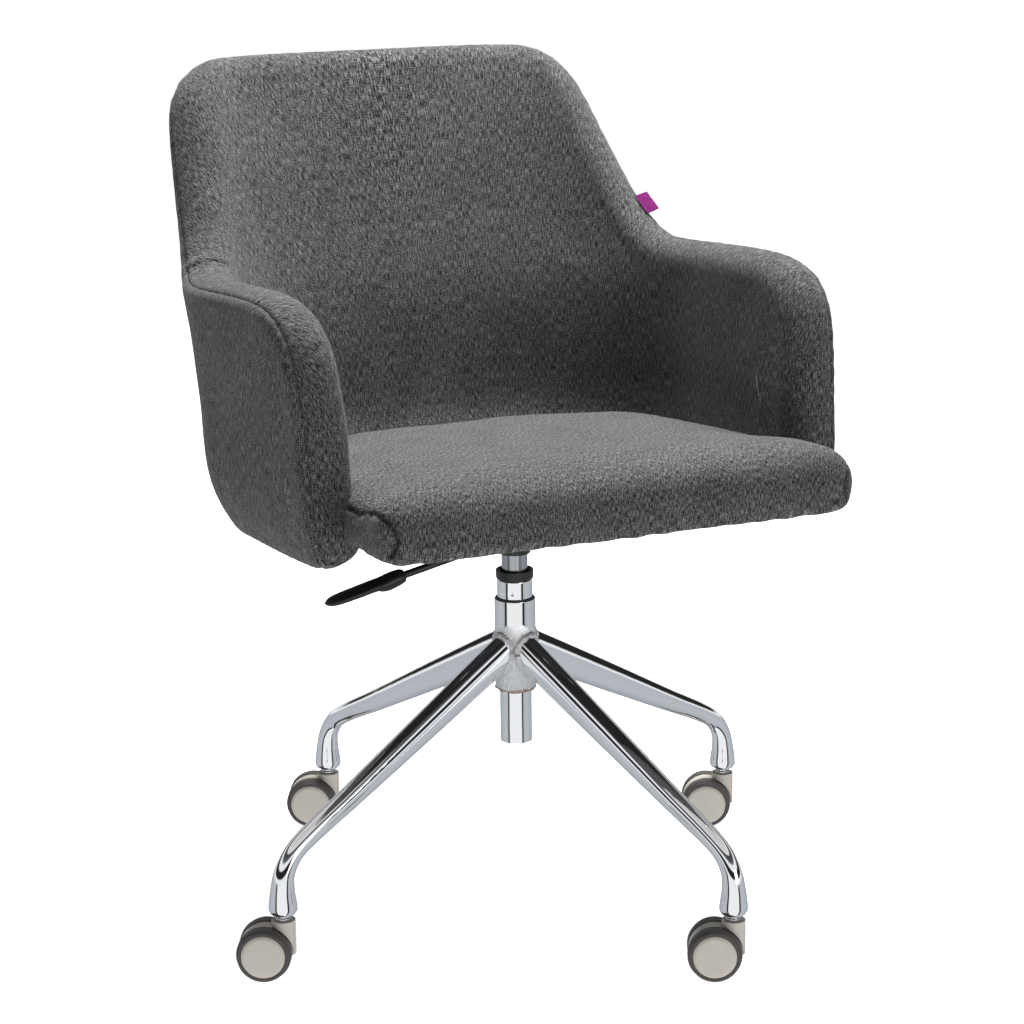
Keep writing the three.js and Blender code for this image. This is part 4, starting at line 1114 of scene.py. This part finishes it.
def cushion_form():
    """Points and faces of the closed cushion before it is stuffed."""
    c = CUSHION
    part = np.linspace(0, 1, CUSHION_ROWS)
    crowded = part - ROW_CROWDING * np.sin(2 * math.pi * part)
    y = c["front"] + (c["back"] - 1 - c["front"]) * crowded
    across = np.sin(math.pi / 2 * np.linspace(-1, 1, CUSHION_COLUMNS))
    rows, columns = np.meshgrid(y, across, indexing="ij")
    half = cushion_half_width(rows)
    top = np.stack([columns * half, rows, cushion_top(rows, columns)], -1)
    under_y = np.where(rows > 0, rows * c["foot"], rows + c["front_tuck"])
    foot = c["foot"] + (c["front_foot"] - c["foot"]) * wing_share(rows)
    under = np.stack([columns * half * foot, under_y, np.full_like(rows, c["bottom"])], -1)
    ring = np.concatenate([top, under[:, ::-1]], 1)
    faces = grid_faces(*ring.shape[:2])
    count = ring.shape[1]
    for row in (0, len(y) - 1):
        for j in range(CUSHION_COLUMNS - 1):
            a, b = row * count + j, row * count + count - 1 - j
            faces.append((a, a + 1, b - 1, b))
    return ring.reshape(-1, 3), faces


def stuffed(piece):
    """Inflates the cover a little with a cloth simulation, and caps how far it moves."""
    remesh = piece.modifiers.new("even cloth", "REMESH")
    remesh.mode = "VOXEL"
    remesh.voxel_size = VOXEL * MM
    bpy.context.view_layer.update()
    apply_modifiers(piece)
    rest = mesh_points(piece.data)
    low = np.clip(1 - (rest[:, 2] / MM - CUSHION["bottom"]) / HEM_ROUND, 0, 1)
    rest[:, 0] *= 1 - HEM_ROUND * (1 - np.sqrt(1 - low**2)) / CUSHION["wing"]
    piece.data.vertices.foreach_set("co", rest.ravel())
    held = piece.vertex_groups.new(name="held")
    low = np.flatnonzero(rest[:, 2] < (CUSHION["bottom"] + VOXEL) * MM)
    held.add(low.tolist(), 1.0, "REPLACE")
    cloth = piece.modifiers.new("stuffing", "CLOTH")
    settings = cloth.settings
    settings.quality = 5
    settings.use_pressure = True
    settings.uniform_pressure_force = PRESSURE
    settings.effector_weights.gravity = 0
    settings.vertex_group_mass = "held"
    cloth.collision_settings.use_collision = False
    cloth.point_cache.frame_start = 1
    cloth.point_cache.frame_end = SIMULATED_FRAMES
    for number in range(1, SIMULATED_FRAMES + 1):
        bpy.context.scene.frame_set(number)
    evaluated = piece.evaluated_get(bpy.context.evaluated_depsgraph_get())
    moved = mesh_points(evaluated.data)
    piece.modifiers.clear()
    bpy.context.scene.frame_set(1)
    return capped(rest, moved)


def capped(rest, moved):
    """The stuffed points, kept within the room that the arms and the board leave."""
    step = moved - rest
    length = np.linalg.norm(step, axis=1, keepdims=True)
    step *= FULLNESS * np.minimum(1, MOST_RISE * MM / np.maximum(length, 1e-9))
    room = np.where(rest[:, 1] > CUSHION["wing_from"] * MM, SIDE_ROOM, FRONT_ROOM) * MM
    step[:, 0] = np.clip(step[:, 0], -room, room)
    step[:, 1] = np.clip(step[:, 1], -FRONT_ROOM * MM, BACK_ROOM * MM)
    return rest + step


def mesh_points(mesh):
    flat = np.empty(len(mesh.vertices) * 3)
    mesh.vertices.foreach_get("co", flat)
    return flat.reshape(-1, 3)


def gusset_line(points):
    """How far outside the gusset's seam each point lies, in millimetres, measured across the cushion."""
    seam = np.maximum(cushion_half_width(points[:, 1]) - GUSSET["inset"], GUSSET["corner_x"])
    return np.abs(points[:, 0]) - seam


def seam_and_pucker(mesh):
    """Presses the gusset's seam in, with puckers along it and along the bottom edge."""
    points = mesh_points(mesh) / MM
    normals = np.empty(len(points) * 3)
    mesh.vertices.foreach_get("normal", normals)
    normals = normals.reshape(-1, 3)
    line = gusset_line(points)
    on_top = (normals[:, 2] > 0.3) & (points[:, 1] < CUSHION["wing_full"])
    at_corner = (normals[:, 2] > -0.5) & (points[:, 1] < CUSHION["front"] + GUSSET["corner_reach"])
    above = on_top | at_corner
    snap = above & (np.abs(line) < GUSSET["snap"])
    points[snap, 0] -= line[snap] * np.sign(points[snap, 0])
    line = np.where(snap, 0, line)
    seam = np.exp(-((line / GUSSET["half_width"]) ** 2)) * above
    # This seam attribute is the mask of the painted shade that darkens the cloth's colour in the seam's
    # groove.
    mesh.attributes.new("seam", "FLOAT", "POINT").data.foreach_set("value", seam)
    groove = -GUSSET["depth"] * seam
    along = points[:, [1, 2]] @ np.array([[1.0], [1.0]])
    near_seam = np.exp(-np.abs(line) / GUSSET["pucker_reach"])
    pucker = GUSSET["pucker"] * waves(along, GUSSET["pucker_pitch"], 11) * near_seam
    low = np.exp(-np.abs(points[:, 2] - CUSHION["bottom"] - HEM["height"]) / HEM["reach"])
    hem = HEM["ripple"] * waves(points[:, :2], HEM["pitch"], 12) * low
    slack = CUSHION_SLACK["height"] * waves(points, CUSHION_SLACK["pitch"], 13)
    points += normals * (groove + pucker + hem + slack * above)[:, None]
    mesh.vertices.foreach_set("co", (points * MM).ravel())
    mesh.update()


def cushion_uv(piece):
    """Cloth coordinates: over the top and down the front in one piece, with the gussets apart."""
    mesh = piece.data
    points = mesh_points(mesh)
    layer = mesh.uv_layers.new(name="cloth")
    outside = gusset_line(points / MM) > 0
    for polygon in mesh.polygons:
        side = abs(polygon.normal.z) < 0.8 and all(outside[v] for v in polygon.vertices)
        for corner in polygon.loop_indices:
            x, y, z = points[mesh.loops[corner].vertex_index]
            layer.data[corner].uv = (abs(x) + y, z) if side else (x, y + z)


def make_cushion():
    points, faces = cushion_form()
    piece = add_piece("cushion_cover", points, faces, FINISH["cushion"], "seat", ["seat_cushion"], sharp=180)
    shape = stuffed(piece)
    piece.data.vertices.foreach_set("co", shape.ravel())
    soften = piece.modifiers.new("smooth", "CORRECTIVE_SMOOTH")
    soften.use_only_smooth = True
    soften.iterations = 6
    finer = piece.modifiers.new("finer", "SUBSURF")
    finer.levels = 1
    finer.render_levels = 1
    bpy.context.view_layer.update()
    apply_modifiers(piece)
    seam_and_pucker(piece.data)
    cushion_uv(piece)
    piece.data.shade_smooth()
    dress(piece, FINISH["cushion"])


# ------------------------------------------------------------------ studio

SKY = 0.05  # light on the cloth from above the horizon
GROUND = 1.0  # and from below it
GREY_PANEL = (0.48, 0.51, 0.54)
# What the chrome sees: a white panel with a dark frame towards the camera, and dark bands overhead.
PANEL = {
    "toward": (-0.4446, -0.8957),
    "around": [
        (0.0, (0.4, 0.42, 0.45)), (0.3, GREY_PANEL), (0.6, (0.56, 0.59, 0.62)), (0.76, GREY_PANEL),
        (0.785, (0.02, 0.02, 0.02)), (0.85, (0.03, 0.03, 0.03)), (0.875, (1, 1, 1)), (1.0, (1, 1, 1)),
    ],
    "above": [
        (0.0, (0.9, 0.92, 0.95)), (0.1, (1, 1, 1)), (0.16, (0.02, 0.02, 0.02)), (0.36, (0.02, 0.02, 0.02)),
        (0.4, (1, 1, 1)), (0.52, (0.9, 0.92, 0.95)), (0.58, (0.12, 0.12, 0.12)), (0.72, (0.05, 0.05, 0.05)),
        (0.76, (0.8, 0.8, 0.8)), (1.0, (0.6, 0.6, 0.6)),
    ],
}


CAMERA = {
    "place": (-1.1385, -2.5684, 1.093), "heading": (0.4446, 0.8957), "pitch": math.radians(-14.185),
    "lens": 107.58, "sensor": 36, "shift": -0.128, "reach": 200,
}
FLOOR_SIZE = 80
LIT_POINT = (0, 0, 0.4)
SOFTBOX_SIZE = (1.4, 1.2)
SOFTBOXES = {"overhead": ((0.45, 0.55, 2.5), 108), "front": ((0.9, -3.0, 0.8), 17)}  # place and watts


def make_floor():
    material, _ = new_finish("floor", (0.85, 0.85, 0.85), 0.9, **{"Emission Strength": 0.9})
    material.node_tree.nodes["Principled BSDF"].inputs["Emission Color"].default_value = (1, 1, 1, 1)
    bpy.ops.mesh.primitive_plane_add(size=FLOOR_SIZE)
    floor = bpy.context.object
    floor.name = "floor"
    floor.data.materials.append(material)
    floor.visible_glossy = False  # the chrome reflects the studio's bands instead
    floor.visible_diffuse = False  # and the cloth is lit by the sky alone from below


def make_world():
    """White for the camera, a soft sky for the cloth, and a banded studio for the chrome."""
    world = bpy.data.worlds.new("studio")
    bpy.context.scene.world = world
    world.use_nodes = True
    tree = world.node_tree
    path = add_node(tree, "ShaderNodeLightPath")
    direction = add_node(tree, "ShaderNodeTexCoord").outputs["Generated"]
    height = height_of(tree, direction)
    flat = {0: direction, 1: (1, 1, 0)}
    level = add_node(tree, "ShaderNodeVectorMath", flat, operation="MULTIPLY").outputs[0]
    level = add_node(tree, "ShaderNodeVectorMath", {0: level}, operation="NORMALIZE").outputs[0]
    front = {0: level, 1: (*PANEL["toward"], 0)}
    facing = add_node(tree, "ShaderNodeVectorMath", front, operation="DOT_PRODUCT").outputs["Value"]
    round_about = calculate(tree, "MULTIPLY_ADD", facing, 0.5, 0.5)
    lower = ramp(tree, round_about, *PANEL["around"])
    upper = ramp(tree, height, *PANEL["above"])
    overhead = add_node(tree, "ShaderNodeMapRange", {
        "Value": height, "From Min": -0.02, "From Max": 0.05,
    }).outputs[0]
    bands = mix_colors(tree, overhead, lower, upper)
    seen = mix_colors(tree, path.outputs["Is Glossy Ray"], (1, 1, 1, 1), bands)
    ambient = add_node(tree, "ShaderNodeMapRange", {
        "Value": height, "From Min": -0.05, "From Max": 0.05, "To Min": GROUND, "To Max": SKY,
    }).outputs[0]
    strength = add_node(tree, "ShaderNodeMix", {
        "Factor": path.outputs["Is Diffuse Ray"], 2: 1.0, 3: ambient,
    }, data_type="FLOAT").outputs[0]
    background = tree.nodes["Background"]
    tree.links.new(seen, background.inputs["Color"])
    tree.links.new(strength, background.inputs["Strength"])


def add_softbox(name, location, watts):
    light = bpy.data.lights.new(name, "AREA")
    light.shape = "RECTANGLE"
    light.size, light.size_y = SOFTBOX_SIZE
    light.energy = watts
    lamp = bpy.data.objects.new(name, light)
    lamp.location = location
    lamp.rotation_euler = (Vector(LIT_POINT) - Vector(location)).to_track_quat("-Z", "Y").to_euler()
    bpy.context.scene.collection.objects.link(lamp)


def make_camera():
    data = bpy.data.cameras.new("camera")
    data.lens = CAMERA["lens"]
    data.sensor_width = CAMERA["sensor"]
    data.shift_x = CAMERA["shift"]
    data.clip_end = CAMERA["reach"]
    camera = bpy.data.objects.new("camera", data)
    camera.location = CAMERA["place"]
    pitch = CAMERA["pitch"]
    look = Vector((*(part * math.cos(pitch) for part in CAMERA["heading"]), math.sin(pitch)))
    camera.rotation_euler = look.to_track_quat("-Z", "Y").to_euler()
    bpy.context.scene.collection.objects.link(camera)
    bpy.context.scene.camera = camera


def make_studio():
    make_floor()
    make_world()
    for name, (location, watts) in SOFTBOXES.items():
        add_softbox(name, location, watts)
    make_camera()
    bpy.context.scene.view_settings.view_transform = "Standard"


make_legs()
make_column()
make_castors()
make_lever()
make_seat_support()
make_shell()
make_tag()
make_cushion()
make_studio()
